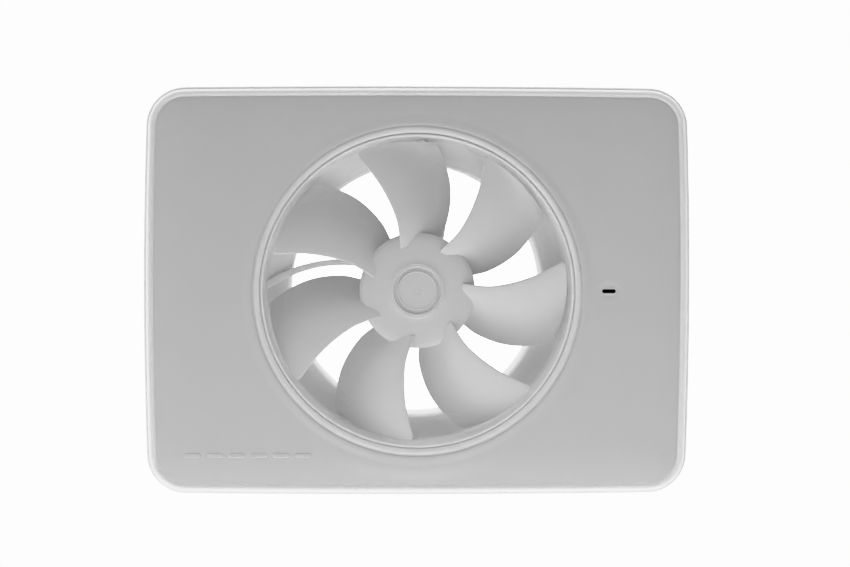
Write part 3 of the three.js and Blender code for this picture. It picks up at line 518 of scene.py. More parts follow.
DUCT_PROFILE = [
    (THROAT_RADIUS, THROAT_LIP_Y), (THROAT_RADIUS, -5.5), (58.3, -4), (56, -2.6), (52.4, -1.2), (50.3, 0),
    (SPIGOT_INNER, 1.2), (SPIGOT_INNER, SPIGOT_END_Y), (SPIGOT_OUTER, SPIGOT_END_Y), (SPIGOT_OUTER, 0),
    (THROAT_OUTER, 0), (THROAT_OUTER, SHELF_Y - 0.1), (FLANGE_RADIUS, SHELF_Y - 0.1),
    (FLANGE_RADIUS, FLANGE_FRONT_Y), (THROAT_OUTER, FLANGE_FRONT_Y), (THROAT_OUTER, PANEL_BACK_Y + 1.6),
    (THROAT_LIP_OUTER + 0.35, PANEL_BACK_Y + 0.9), (THROAT_LIP_OUTER + 0.35, THROAT_LIP_Y + 0.55),
    (THROAT_LIP_OUTER, THROAT_LIP_Y + 0.5), (THROAT_LIP_OUTER, THROAT_LIP_Y),
]
AIR_PATH = [(0, -26), (THROAT_RADIUS + 0.6, -26), (THROAT_RADIUS + 0.6, -5.5), (58.9, -4), (56.6, -2.6),
            (53, -1.2), (50.9, 0), (50.2, 1.2), (50.2, 26), (0, 26)]

STRUT_START_RADIUS = 20
STRUT_END_RADIUS = 60.2
STRUT_START_ANGLE = 153
STRUT_SWEEP = 26.5


def strut_point(radius, sideways):
    """A point beside the first strut's middle line, in X and Z."""
    way = (radius - STRUT_START_RADIUS) / (STRUT_END_RADIUS - STRUT_START_RADIUS)
    angle = (STRUT_START_ANGLE + STRUT_SWEEP * way) * DEGREE
    turn = math.atan2(radius * STRUT_SWEEP * DEGREE, STRUT_END_RADIUS - STRUT_START_RADIUS)
    across = angle + turn + math.pi / 2
    return (radius * math.cos(angle) + sideways * math.cos(across),
            radius * math.sin(angle) + sideways * math.sin(across))


def strut():
    steps = 28
    rings = []
    for i in range(steps + 1):
        way = i / steps
        radius = STRUT_START_RADIUS + (STRUT_END_RADIUS - STRUT_START_RADIUS) * way
        half = 1.05 + 0.5 * way * way
        section = rounded_box((-half, STRUT_FRONT_Y), (half, STRUT_BACK_Y), 0.6, 4)
        rings.append([(strut_point(radius, u)[0], y, strut_point(radius, u)[1]) for u, y in section])
    return loft("strut", rings)


def fan_duct():
    """Throat, cone, spigot, flange, struts and motor seat in one moulding."""
    duct = turned("duct_wall", rounded_profile(DUCT_PROFILE, 0.28), 180)
    ribs = joined("struts", copies_round(strut(), STRUT_COUNT))
    combine(ribs, [turned("air_path", AIR_PATH, 180)], "INTERSECT")
    inside = MOTOR_SEAT_RADIUS - 1.8
    seat = [(0, -1.6), (4, -1.6), (4, -3.3), (9.4, -3.3), (9.4, MOTOR_SEAT_Y),
            (MOTOR_SEAT_RADIUS, MOTOR_SEAT_Y), (MOTOR_SEAT_RADIUS, STRUT_BACK_Y), (inside, STRUT_BACK_Y),
            (inside, 0.6), (0, 0.6)]
    seat = turned("seat", rounded_profile(seat, 0.3), 96)
    return combine(duct, [ribs, seat], "UNION")


# ------------------------------------------------------------------ impeller

# From root to tip: radius, angle of the leading edge, angle of the trailing edge, their heights.
BLADE_SECTIONS = [
    (17.4, 9.3, -36.0, HUB_FACE_Y + 0.2, -8.2),
    (22.2, 5.6, -36.4, -22.7, -7.8),
    (28.5, 3.8, -36.6, -23.8, -7.4),
    (42.0, 6.6, -30.9, -24.5, -7.2),
    (TIP_RADIUS, 12.0, -20.3, -24.4, -7.2),
]
BLADE_CAMBER = 1.55
BLADE_THICKNESS = 1.9
EDGE_ROUND = 0.55             # millimetres over which an edge closes
CREASE = [(17.4, 0.5), (24, 0.6), (30, 0.68), (42, 0.77), (50, 0.77), (54, 0.7), (TIP_RADIUS, 0.62)]
CREASE_EASE = 0.7             # behind the crease the blade is this much as steep


def blade_value(column, radius):
    return smooth_value([(section[0], section[column]) for section in BLADE_SECTIONS], radius)


def blade_height(radius, way):
    """How far back the blade's middle surface lies, and how fast it falls along the chord."""
    front_y, drop = blade_value(3, radius), blade_value(4, radius) - blade_value(3, radius)
    crease = smooth_value(CREASE, radius)
    y = front_y + drop * way ** BLADE_CAMBER
    slope = drop * BLADE_CAMBER * max(way, 0.02) ** (BLADE_CAMBER - 1)
    if way > crease:
        at_crease = front_y + drop * crease ** BLADE_CAMBER
        y = at_crease + (y - at_crease) * CREASE_EASE
        slope *= CREASE_EASE
    return y, slope


def half_thickness(way):
    return BLADE_THICKNESS / 2 * (0.3 + 0.7 * math.sin(math.pi * min(0.9, 0.08 + way * 0.85)))


def blade_front(radius, way, lift):
    """A point lifted off the blade's front side."""
    leading, trailing = blade_value(1, radius), blade_value(2, radius)
    y, slope = blade_height(radius, way)
    steep = math.atan2(slope, abs((trailing - leading) * DEGREE * radius))
    half = half_thickness(way) + lift
    angle = (leading + (trailing - leading) * way) * DEGREE - half * math.sin(steep) / radius
    return radius * math.cos(angle), y - half * math.cos(steep), radius * math.sin(angle)


# Fine raised lines between the crease and the trailing edge, near the tip: two ends as (radius, way).
BLADE_LINES = [((56.2, 0.77), (55.9, 0.93)), ((52.6, 0.79), (52.0, 0.95)), ((49.6, 0.83), (48.7, 0.96))]
LINE_SECTION = [(-1, -0.3), (-0.6, 0.08), (0, 0.13), (0.6, 0.08), (1, -0.3)]


def blade_lines():
    lines = []
    for (start_radius, start_way), (end_radius, end_way) in BLADE_LINES:
        rings = []
        for step in range(9):
            t = step / 8
            radius = start_radius + (end_radius - start_radius) * t
            way = start_way + (end_way - start_way) * t
            width = 0.2 * math.sqrt(1 - (2 * t - 1) ** 6 * 0.9)
            rings.append([blade_front(radius + width * across, way, lift) for across, lift in LINE_SECTION])
        lines.append(loft("line", rings))
    return lines


def blade_section(radius):
    """One closed loop round the blade at a radius: along the front side and back along the rear."""
    leading, trailing = blade_value(1, radius), blade_value(2, radius)
    drop = blade_value(4, radius) - blade_value(3, radius)
    corner = np.clip((radius - (TIP_RADIUS - 2.4)) / 2.4, 0, 1)
    leading -= 2.2 * (1 - math.sqrt(1 - corner * corner))
    trailing += 0.6 * (1 - math.sqrt(1 - corner * corner))
    span = (trailing - leading) * DEGREE * radius
    chord = math.hypot(span, drop)
    tip_close = np.clip((TIP_RADIUS - radius) / 0.4, 0, 1)
    tip_close = math.sqrt(1 - (1 - tip_close) ** 2) * 0.75 + 0.25
    ways = np.concatenate([(1 - np.cos(np.linspace(0, math.pi / 2, 9)))[:-1] * 0.06,
                           np.linspace(0.06, 0.965, 26)[:-1],
                           1 - (1 - np.sin(np.linspace(0, math.pi / 2, 7))) * 0.035])
    loop = []
    for side, order in ((1, ways), (-1, ways[::-1])):
        for way in order:
            y, slope = blade_height(radius, way)
            steep = math.atan2(slope, abs(span))
            to_edge = min(way, 1 - way) * chord / EDGE_ROUND
            close = math.sqrt(1 - (1 - min(to_edge, 1)) ** 2)
            half = side * half_thickness(way) * close * tip_close
            angle = (leading + (trailing - leading) * way) * DEGREE - half * math.sin(steep) / radius
            loop.append((radius * math.cos(angle), y - half * math.cos(steep), radius * math.sin(angle)))
    return loop


def blade():
    radii = list(np.linspace(17.4, 24, 12)) + list(np.linspace(24, 54.6, 30))[1:]
    radii += [55.4, 56, 56.4, 56.7, 56.9, 57.05, 57.15, 57.22, 57.27, TIP_RADIUS]
    rings = [blade_section(radius) for radius in radii]
    return combine(loft("blade", rings), blade_lines(), "UNION")


# The hub's face by radius, measured back from HUB_FACE_Y: a flat disc, a fine ring, a recess, a round
# bead with a fine groove in it, then a gentle dome to the bevelled rim.
HUB_FACE = [
    (0, 0.3), (6.95, 0.3), (7.05, 0.05), (7.25, 0), (7.45, 0.1), (7.6, 0.65), (8.75, 0.75), (8.95, 0.55),
    (9.1, -0.2), (9.25, -0.42), (9.5, -0.45), (9.7, -0.32), (9.95, -0.36), (10.25, -0.34), (10.5, -0.1),
    (10.85, 0.08), (13, 0.12), (15.5, 0.28), (18, 0.53), (20.65, 0.88), (20.8, 0.97), (22, 2.05),
    (HUB_RADIUS, 2.5),
]
HUB_PROFILE = [(radius, HUB_FACE_Y + back) for radius, back in HUB_FACE] + [
    (HUB_RADIUS, HUB_BACK_Y - 0.2), (HUB_RADIUS - 0.2, HUB_BACK_Y), (0, HUB_BACK_Y),
]


# The moulding gate's dimple in the middle of the hub, measured the same way.
GATE = [(0, -1), (1.95, -1), (1.95, 0.15), (1.7, 0.35), (1.3, 0.45), (1.05, 0.2), (0.7, -0.02), (0.35, 0.05),
        (0, 0.25)]


def impeller():
    hub = turned("hub", HUB_PROFILE, 168)
    combine(hub, copies_round(blade(), BLADE_COUNT), "UNION")
    bore = turned("bore", [(0, HUB_FACE_Y + 1.6), (HUB_BORE, HUB_FACE_Y + 1.6), (HUB_BORE, 0), (0, 0)], 168)
    gate = turned("gate", [(radius, HUB_FACE_Y + back) for radius, back in GATE], 36)
    return combine(hub, [bore, gate], "DIFFERENCE")


# ------------------------------------------------------------------ back case

GROMMET = (64, -64)
GROMMET_HOLE = 6.5
CLAMP_X = 50
CLAMP_Z = -64
CLAMP_SCREWS = [(CLAMP_X, CLAMP_Z - 8.5), (CLAMP_X, CLAMP_Z + 8.5)]
LID_SCREW = (90.5, -4.5)
BOARD_SCREWS = [(70.6, -45.2), (93.8, -45.2), (94.5, 46.5), (58.5, 46.5), LID_SCREW]
WALL_SCREWS = [(x, z) for x in (-88, 88) for z in (-64, 64)]

# The case's outside and inside: how far in from the outline, and how far back.
CASE_OUTSIDE = [
    (1, SEAM_Y), (0.72, SEAM_Y + 0.05), (0.35, SEAM_Y + 0.35), (0.1, SEAM_Y + 0.7), (0, SEAM_Y + 1.2),
    (0, -0.9), (0.25, -0.35), (0.8, 0),
]
CASE_INSIDE = [
    (CASE_WALL, SEAM_Y - 2), (CASE_WALL, SHELF_Y - 0.8), (CASE_WALL + 0.25, SHELF_Y - 0.25),
    (CASE_WALL + 0.8, SHELF_Y),
]


def back_case():
    """The tray behind the cover, with its posts, ribs and openings."""
    tray, room = (loft(name, [level(plate_outline(inset, 16, 16), y) for inset, y in levels])
                  for name, levels in (("case", CASE_OUTSIDE), ("room", CASE_INSIDE)))
    combine(tray, [room], "DIFFERENCE")
    combine(tray, case_bosses(), "UNION")
    cuts = [turned("duct_hole", [(0, -12), (THROAT_OUTER + 0.3, -12), (THROAT_OUTER + 0.3, 3), (0, 3)], 180),
            turned("gasket_groove", [(70.2, -1.2), (75.2, -1.2), (75.2, 1), (70.2, 1)], 144),
            post("grommet_hole", *GROMMET, GROMMET_HOLE, -12, 3, 48)]
    cuts += [post("wall_hole", x, z, 2.3, -12, 3) for x, z in WALL_SCREWS]
    cuts += [profiled_post("sink", x, z, [(3.9, -4.3), (2.2, -2.6)]) for x, z in WALL_SCREWS]
    return combine(tray, cuts, "DIFFERENCE")


def profiled_post(name, x, z, profile, sides=32):
    """A round post about an axis along Y, with its profile as (radius, y)."""
    return loft(name, [level(circle(x, z, radius, sides + 1)[:-1], y) for radius, y in profile])


def post(name, x, z, radius, front_y, back_y, sides=32):
    return profiled_post(name, x, z, [(radius, front_y), (radius, back_y)], sides)


def case_bosses():
    """Round posts for the screws, and low stiffening ribs on the floor of the case."""
    bosses = []
    for places, radius, front_y in ((BOARD_SCREWS, 3, -6.9), (CLAMP_SCREWS, 2.9, -6), (WALL_SCREWS, 5, -4.2)):
        profile = [(radius - 0.25, front_y), (radius, front_y + 0.25), (radius, SHELF_Y - 0.5),
                   (radius + 0.6, SHELF_Y + 0.2), (radius + 0.6, SHELF_Y + 0.6)]
        bosses += [profiled_post("boss", x, z, profile) for x, z in places]
    for z in (-40, -20, 0, 20, 40):
        bosses.append(block("rib", (-101, -68.5), (SHELF_Y - 2.5, SHELF_Y + 0.5), (z - 0.6, z + 0.6), 0.2))
    bosses.append(block("rib", (-85.6, -84.4), (SHELF_Y - 2.1, SHELF_Y + 0.5), (-55, 55), 0.2))
    return bosses


# ------------------------------------------------------------------ small parts

def spigot_seal():
    low, high = box_mm("spigot_seal")
    inner = SPIGOT_OUTER + 0.3
    outer = high.x
    middle = (low.y + high.y) / 2
    profile = [(inner, low.y), (inner + 1, low.y + 0.5), (outer, middle - 1.3), (outer - 0.1, middle - 1.05),
               (inner + 0.9, middle - 0.7), (inner + 0.9, middle + 0.7), (outer - 0.1, middle + 1.75),
               (outer, middle + 1.95), (inner + 1, high.y - 0.3), (inner, high.y)]
    return turned("seal_ring", rounded_profile(profile, 0.15, 3))


def wall_gasket():
    low, high = box_mm("wall_gasket")
    outer = high.x
    inner = outer - 4.4
    section = [(inner, low.y), (outer, low.y), (outer, high.y), (inner, high.y)]
    return turned("gasket_ring", rounded_profile(section, 0.3, 3))


def cable_grommet():
    low, high = box_mm("cable_grommet")
    flange = (high.x - low.x) / 2
    neck = GROMMET_HOLE - 0.3
    floor_y = SHELF_Y - 0.1
    profile = [(3.5, low.y + 0.2), (3.7, low.y), (7.0, low.y), (flange, low.y + 0.7), (flange, floor_y),
               (neck, floor_y), (neck, high.y), (4.6, high.y), (3.5, high.y - 0.8), (3.5, -1.6), (3.8, -2),
               (3.5, -2.4)]
    return move_to(turned("grommet", rounded_profile(profile, 0.25, 3), 72), low, high)


THREAD_PITCH = 0.7


def pan_screw(name, node):
    """A pan-head screw with a cross recess and a threaded shank, in the place of its CAD screw."""
    low, high = box_mm(node)
    radius = (high.x - low.x) / 2
    head_y = low.y + radius * 0.55
    shank = radius * 0.46
    profile = [(0, low.y), (radius * 0.45, low.y + 0.03), (radius * 0.75, low.y + radius * 0.12),
               (radius * 0.95, low.y + radius * 0.3), (radius, low.y + radius * 0.42), (radius, head_y),
               (shank, head_y)]
    for k in range(int((high.y - head_y - shank) / THREAD_PITCH)):
        at = head_y + 0.3 + k * THREAD_PITCH
        profile += [(shank * 0.8, at), (shank, at + 0.3)]
    profile += [(shank * 0.6, high.y - shank * 0.6), (0, high.y)]
    screw = turned(name, profile, 40)
    arm, half = radius * 0.55, radius * 0.13
    deep = low.y + radius * 0.45
    turn = Matrix.Rotation(20 * DEGREE, 4, "Y")
    bars = []
    for a, b in ((arm, half), (half, arm)):
        bar = loft("bar", [[(x * k, y, z * k) for x, z in rounded_box((-a, -b), (a, b), half * 0.5)]
                           for y, k in ((low.y - 1, 1.1), (low.y, 1), (deep, 0.6))])
        bar.data.transform(turn)
        bars.append(bar)
    return move_to(combine(screw, bars, "DIFFERENCE"), low, high)


# Half of the clamp's section, as (across, y): its saddle's underside and then its top.
CLAMP_HALF = [
    (1.6, -9.2), (3, -8.6), (3.9, -7.6), (4.4, -6.6), (5.2, -6.1), (11, -6.1),
    (11, -8.4), (6.1, -8.4), (5.5, -8.8), (4.9, -9.9), (3.9, -10.9), (2.4, -11.2),
]


def cable_clamp():
    """A bridge over the mains cable, with three biting ribs under it."""
    low, high = box_mm("cable_clamp")
    middle_z = (low.z + high.z) / 2
    outer = CLAMP_HALF + [(-u, y) for u, y in reversed(CLAMP_HALF)]
    rings = []
    for x, shrink in ((low.x, 0.25), (low.x + 0.25, 0), (high.x - 0.25, 0), (high.x, 0.25)):
        rings.append([(x, y + (shrink if y < -7.5 else 0), middle_z + u * (1 - shrink / 30))
                      for u, y in outer])
    clamp = loft("clamp", rings)
    holes = [post("hole", x, z, 1.4, -12, -5) for x, z in CLAMP_SCREWS]
    across = (middle_z - 1.6, middle_z + 1.6)
    ribs = [block("rib", (low.x + 0.8 + 2 * k, low.x + 1.6 + 2 * k), (-9.35, -9.0), across, 0.1)
            for k in range(3)]
    combine(clamp, ribs, "UNION")
    return combine(clamp, holes, "DIFFERENCE")


def choke():
    """A ferrite ring wound with two coils of enamelled wire, and its wound turns as separate loops."""
    low, high = box_mm("emc_choke")
    centre = (low + high) / 2
    middle = (high.x - low.x) / 2 - 2.3
    section = [(middle - 1.5, -1.7), (middle + 1.5, -1.7), (middle + 1.5, 1.7), (middle - 1.5, 1.7)]
    core = turned("core", rounded_profile(section, 0.4, 3), 64)
    pieces = [core]
    for half in (0, 1):
        for k in range(9):
            angle = (half * 180 + 22 + k * 17) * DEGREE
            rings = []
            for step in range(20):
                turn = step / 20 * 2 * math.pi
                out = middle + 1.95 * max(-1, min(1, 1.25 * math.cos(turn)))
                y = 1.95 * max(-1, min(1, 1.25 * math.sin(turn)))
                ring = []
                for side in range(8):
                    a = side / 8 * 2 * math.pi
                    r = out + 0.33 * math.cos(a) * math.cos(turn)
                    h = y + 0.33 * math.cos(a) * math.sin(turn)
                    shift = 0.33 * math.sin(a)
                    ring.append((r * math.cos(angle) - shift * math.sin(angle), h,
                                 r * math.sin(angle) + shift * math.cos(angle)))
                rings.append(ring)
            pieces.append(loft("turn", rings, wrap=True))
    for piece in pieces:
        piece.data.transform(Matrix.Translation(centre * MM))
    dress(core, FERRITE)
    for piece in pieces[1:]:
        dress(piece, COPPER)
    return joined("choke", pieces)


def capacitor(node, name):
    """An upright can in a plain sleeve, with its vent cross pressed into the bare top."""
    low, high = box_mm(node)
    radius = (high.x - low.x) / 2
    top, bottom = low.y, high.y
    profile = [(0, top + 0.15), (radius * 0.72, top + 0.15), (radius * 0.78, top), (radius - 0.35, top),
               (radius - 0.06, top + 0.3), (radius, top + 0.6), (radius, bottom - 2.1),
               (radius - 0.35, bottom - 1.7), (radius - 0.35, bottom - 1.4), (radius, bottom - 1),
               (radius, bottom), (0, bottom)]
    can = turned(name, profile, 48)
    arm = radius * 0.62
    bars = [block("bar", (-a, a), (top - 1, top + 0.3), (-b, b), 0.05) for a, b in ((arm, 0.12), (0.12, arm))]
    combine(can, bars, "DIFFERENCE")
    dress(can, SLEEVE)
    can.data.materials.append(ALUMINIUM)
    for face in can.data.polygons:
        x, y, z = face.center / MM
        if y < top + 0.5 and math.hypot(x, z) < radius * 0.8:
            face.material_index = 1
    return move_to(can, low, high)


def transformer():
    """A ferrite core round a taped winding between its bobbin's two flanges, on a base."""
    low, high = box_mm("transformer")
    middle_z = (low.z + high.z) / 2
    core = block("core", (low.x, high.x), (low.y, high.y), (middle_z - 4, middle_z + 4), 0.4)
    rings = []
    for z, shrink in ((low.z + 0.7, 0.2), (low.z + 0.9, 0), (high.z - 0.9, 0), (high.z - 0.7, 0.2)):
        section = rounded_box((low.x + 1.7 + shrink, high.y - 10.8 + shrink),
                              (high.x - 1.7 - shrink, high.y - 2.2 - shrink), 1.6, 6)
        rings.append([(x, y, z) for x, y in section])
    tape = loft("tape", rings)
    flanges = [block("flange", (low.x + 0.8, high.x - 0.8), (high.y - 11.2, high.y - 1.6), z, 0.2)
               for z in ((low.z + 0.1, low.z + 0.8), (high.z - 0.8, high.z - 0.1))]
    base = block("base", (low.x + 0.5, high.x - 0.5), (high.y - 2.5, high.y), (low.z, high.z), 0.3)
    pieces = [core, tape, *flanges, base]
    for piece, material in zip(pieces, (FERRITE, TAPE, BLACK, BLACK, BLACK)):
        dress(piece, material)
    return joined("supply_transformer", pieces)


def lid():
    """The insulating lid over the mains side, with a rounded edge, vents and its screw ear."""
    low, high = box_mm("electronics_lid")
    edge_z = -8.2

    def shell(inset, front_y, back_y, edge):
        rings = []
        for step in range(5):
            angle = step / 4 * math.pi / 2
            grow = edge * (1 - math.sin(angle))
            y = front_y + edge * (1 - math.cos(angle))
            outline = rounded_box((low.x + inset + grow, low.z + inset + grow),
                                  (high.x - inset - grow, edge_z - inset - grow), 1.6, 5)
            rings.append(level(outline, y))
        rings.append(level(outline, back_y))
        return rings

    body = loft("lid", shell(0, low.y, high.y, 1.0))
    room = loft("room", shell(1.5, low.y + 1.5, high.y + 2, 0.6))
    combine(body, [room], "DIFFERENCE")
    ear = block("ear", (86, 95), (high.y - 1.3, high.y), (-9, high.z), 0.3)
    combine(body, [ear], "UNION")
    cuts = [post("hole", *LID_SCREW, 1.4, -14, -6)]
    cuts += [prism("vent", capsule(82, -40 + k * 4.2, 20, 1.6), low.y - 1, low.y + 3) for k in range(7)]
    return combine(body, cuts, "DIFFERENCE")


TERMINAL_PITCH = 5.08


def terminals():
    """The mains terminal block: three clamps with wire entries, screw wells and dividing grooves."""
    low, high = box_mm("terminal_block")
    body = box_part("terminal_block", "terminals", 0.35)
    middle_x, middle_z = (low.x + high.x) / 2, (low.z + high.z) / 2
    cuts = []
    for step in (-1, 0, 1):
        z = middle_z + step * TERMINAL_PITCH
        cuts.append(post("well", middle_x + 1.2, z, 1.95, low.y - 1, low.y + 5))
        cuts.append(block("entry", (low.x - 2, low.x + 3.5), (low.y + 3.8, low.y + 7.2),
                          (z - 1.7, z + 1.7), 0.5))
    for step in (-0.5, 0.5):
        z = middle_z + step * TERMINAL_PITCH
        for far_x, far_y in ((low.x + 0.6, high.y + 1), (high.x + 1, low.y + 0.5)):
            cuts.append(block("groove", (low.x - 1, far_x), (low.y - 1, far_y), (z - 0.2, z + 0.2), 0.05))
    return combine(body, cuts, "DIFFERENCE")


def chip(node, name, legs):
    """A moulded chip with a dot on its corner and rows of bent leads."""
    low, high = box_mm(node)
    body = block(name, (low.x + 0.5, high.x - 0.5), (low.y, high.y - 0.1), (low.z + 0.4, high.z - 0.4), 0.12)
    dot = post("dot", low.x + 1.4, high.z - 1.3, 0.35, low.y - 1, low.y + 0.08)
    combine(body, [dot], "DIFFERENCE")
    dress(body, BLACK)
    pieces = [body]
    room = (high.z - low.z) - 1.2
    for side in (-1, 1):
        edge = low.x if side < 0 else high.x
        for k in range(legs):
            z = low.z + 0.6 + room * (k + 0.5) / legs
            xs = sorted((edge, edge - side * 0.8))
            leg = block("leg", xs, (high.y - 0.35, high.y - 0.02), (z - 0.15, z + 0.15), 0.05)
            dress(leg, STEEL)
            pieces.append(leg)
    return joined(name, pieces)


def chip_resistor(x, z, board_y, upright=False):
    """A surface-mount resistor on a board: a dark body between two tinned ends."""
    reach, end, half = 1.0, 0.3, 0.6
    pieces = []
    for low, high, depth, material in ((-reach, -reach + end, 0.5, STEEL),
                                       (end - reach, reach - end, 0.45, BLACK),
                                       (reach - end, reach, 0.5, STEEL)):
        along, across = (low, high), (-half, half)
        if upright:
            along, across = across, along
        part = block("resistor", (x + along[0], x + along[1]), (board_y - depth, board_y - 0.01),
                     (z + across[0], z + across[1]), 0.08)
        dress(part, material)
        pieces.append(part)
    return pieces


def main_board():
    """The main board's own shape, with its surface-mount resistors."""
    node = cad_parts["main_pcb"]
    board = bpy.data.objects.new("board", node.data.copy())
    bpy.context.scene.collection.objects.link(board)
    dress(board, BOARD)
    board_y = box_mm("main_pcb")[0].y
    parts = []
    for k in range(7):
        for x, z in ((65, 36.5), (64, 41.5)):
            parts += chip_resistor(x + 3.4 * k, z, board_y, upright=True)
    for k in range(5):
        for x, z in ((70.5, 14), (66.5, 15)):
            parts += chip_resistor(x, z + 2.6 * k, board_y)
    return joined("main_board", [board, *parts])


def sensor_board():
    """The little board behind the slot, with two holes and a few resistors."""
    low, high = box_mm("sensor_pcb")
    board = prism("board", rounded_box((low.x, low.z), (high.x, high.z), 1.2, 5), low.y, high.y)
    holes = [post("hole", x, z, 1.1, low.y - 1, high.y + 1)
             for x, z in ((low.x + 2.6, high.z - 2.6), (low.x + 2.6, low.z + 2.6))]
    combine(board, holes, "DIFFERENCE")
    dress(board, BOARD)
    parts = [board]
    for k in range(4):
        parts += chip_resistor(70 + 3.2 * k, -4.4, low.y, upright=True)
    return joined("sensor_board", parts)


def sensor_can():
    """The sensor's metal cap with its round mouth."""
    low, high = box_mm("humidity_sensor")
    cap = box_part("humidity_sensor", "sensor_can", 0.3)
    mouth = post("mouth", (low.x + high.x) / 2, (low.z + high.z) / 2, 0.75, low.y - 1, low.y + 0.6)
    return combine(cap, [mouth], "DIFFERENCE")


def pin_row(node, count, bases, cap=None):
    """A row of square pins along X in black bases, given as (start, end) from the front, and a cap."""
    low, high = box_mm(node)
    middle_x, middle_z = (low.x + high.x) / 2, (low.z + high.z) / 2
    pitch = (high.x - low.x) / count
    parts = []
    for start, end in bases:
        parts.append(block("base", (low.x, high.x), (low.y + start, low.y + end), (low.z, high.z), 0.25))
        dress(parts[-1], BLACK)
    half = 0.32
    for k in range(count):
        x = middle_x + (k - (count - 1) / 2) * pitch
        parts.append(block("pin", (x - half, x + half), (low.y + 0.02, high.y),
                           (middle_z - half, middle_z + half), 0.12))
        dress(parts[-1], BRASS)
    if cap:
        start, end, depth = cap
        parts.append(block("cap", (low.x + start, low.x + end), (low.y, low.y + depth),
                           (low.z + 0.1, high.z - 0.1), 0.3))
        dress(parts[-1], BLACK)
    return joined(node, parts)


def lead_connector():
    """The motor lead's connector: a shell with four keyed slots."""
    low, high = box_mm("motor_connector")
    shell = box_part("motor_connector", "connector", 0.3)
    slots = []
    for k in range(4):
        z = low.z + (high.z - low.z) * (k + 0.5) / 4
        slots.append(block("slot", (low.x - 1, low.x + 2.4), (low.y + 0.9, high.y - 0.9),
                           (z - 0.55, z + 0.55), 0.1))
    return combine(shell, slots, "DIFFERENCE")


def fuse():
    """A glass tube with a fine wire in it and a metal cap on each end, lying along X."""
    low, high = box_mm("mains_fuse")
    radius, half = (high.y - low.y) / 2, (high.x - low.x) / 2
    in_cap = half - 3
    inside, outside, end = radius - 0.7, radius - 0.25, half - 3.1
    tube = turned("tube", [(inside, -end), (outside, -end), (outside, end), (inside, end)], 48)
    wire = turned("wire", [(0, -in_cap), (0.12, -in_cap), (0.12, in_cap), (0, in_cap)], 12)
    caps = [turned("cap", rounded_profile([(0, side * half), (radius, side * half), (radius, side * in_cap),
                                           (0, side * in_cap)], 0.4), 48) for side in (-1, 1)]
    pieces = [tube, wire, *caps]
    for piece, material in zip(pieces, (GLASS, COPPER, STEEL, STEEL)):
        dress(piece, material)
    whole = joined("fuse", pieces)
    whole.data.transform(Matrix.Translation((low + high) / 2 * MM) @ Matrix.Rotation(math.pi / 2, 4, "Z"))
    return whole


# ------------------------------------------------------------------ materials

def wire(tree, node, plugs):
    """Gives each named input its value, or the output that feeds it."""
    for name, value in plugs.items():
        if isinstance(value, bpy.types.NodeSocket):
            tree.links.new(value, node.inputs[name])
        else:
            node.inputs[name].default_value = value


def add(tree, kind, plugs, **settings):
    node = tree.nodes.new(f"ShaderNode{kind}")
    for name, value in settings.items():
        setattr(node, name, value)
    wire(tree, node, plugs)
    return node


def blend(tree, low, high, factor):
    """A colour between two others."""
    return add(tree, "Mix", {"A": low, "B": high, "Factor": factor}, data_type="RGBA").outputs["Result"]


def shader_of(material):
    return material.node_tree.nodes["Principled BSDF"]


def plastic(name, color, roughness, grain=0.02, grain_size=0.35, tint=0.012, specular=0.4):
    """Moulded plastic: a faint cloudy tint, fine grain in the gloss and a fine raised texture."""
    material = bpy.data.materials.new(name)
    material.use_nodes = True
    tree = material.node_tree
    here = add(tree, "TexCoord", {}).outputs["Object"]
    cloud = add(tree, "TexNoise", {"Scale": 22, "Detail": 3, "Vector": here}).outputs["Fac"]
    fine = add(tree, "TexNoise", {"Scale": 1 / (grain_size * MM), "Detail": 2, "Vector": here}).outputs["Fac"]
    dark = [c * (1 - tint) for c in color]
    light = [min(c * (1 + tint), 1) for c in color]
    gloss = add(tree, "MapRange", {"Value": fine, "To Min": roughness - 0.05, "To Max": roughness + 0.05})
    bump = add(tree, "Bump", {"Height": fine, "Strength": 0.35, "Distance": grain * MM})
    wire(tree, shader_of(material), {
        "Base Color": blend(tree, (*dark, 1), (*light, 1), cloud), "Roughness": gloss.outputs["Result"],
        "Normal": bump.outputs["Normal"], "Specular IOR Level": specular,
    })
    return material


def translucent(material):
    """Lets light soak about a millimetre into the plastic, so thin walls and edges glow a little."""
    wire(material.node_tree, shader_of(material), {
        "Subsurface Weight": 0.3, "Subsurface Radius": (1, 1, 1), "Subsurface Scale": 1.2 * MM,
    })
    return material


def polished_and_highlighted(material, color, roughness):
    """Where a mesh's own rim value is high, the plastic is smooth and not grained, and its colour is a
    painted highlight.
    """
    tree, shader = material.node_tree, shader_of(material)
    rim_polish_and_highlight = add(tree, "Attribute", {}, attribute_name="rim_polish_and_highlight").outputs["Fac"]
    # The colour goes to a plain painted highlight colour, and the roughness goes to a smoother value.
    for socket, kind, value in (("Base Color", "RGBA", (*color, 1)), ("Roughness", "FLOAT", roughness)):
        grained = shader.inputs[socket].links[0].from_socket
        mix = add(tree, "Mix", {}, data_type=kind)
        factor, low, high = (plug for plug in mix.inputs if plug.enabled)
        tree.links.new(rim_polish_and_highlight, factor)
        tree.links.new(grained, low)
        high.default_value = value
        tree.links.new(next(plug for plug in mix.outputs if plug.enabled), shader.inputs[socket])
    return material


def metal(name, color, roughness, stretch=(1, 1, 1)):
    """Metal with fine streaks in its gloss and colour."""
    material = plastic(name, color, roughness, grain=0.004, grain_size=1 / 0.9, tint=0.06)
    tree = material.node_tree
    wire(tree, shader_of(material), {"Metallic": 1})
    wire(tree, tree.nodes["Map Range"], {"To Min": max(roughness - 0.08, 0.05), "To Max": roughness + 0.08})
    here = tree.nodes["Texture Coordinate"].outputs["Object"]
    aim = add(tree, "Mapping", {"Vector": here, "Scale": stretch})
    wire(tree, tree.nodes["Noise Texture.001"], {"Vector": aim.outputs["Vector"]})
    return material


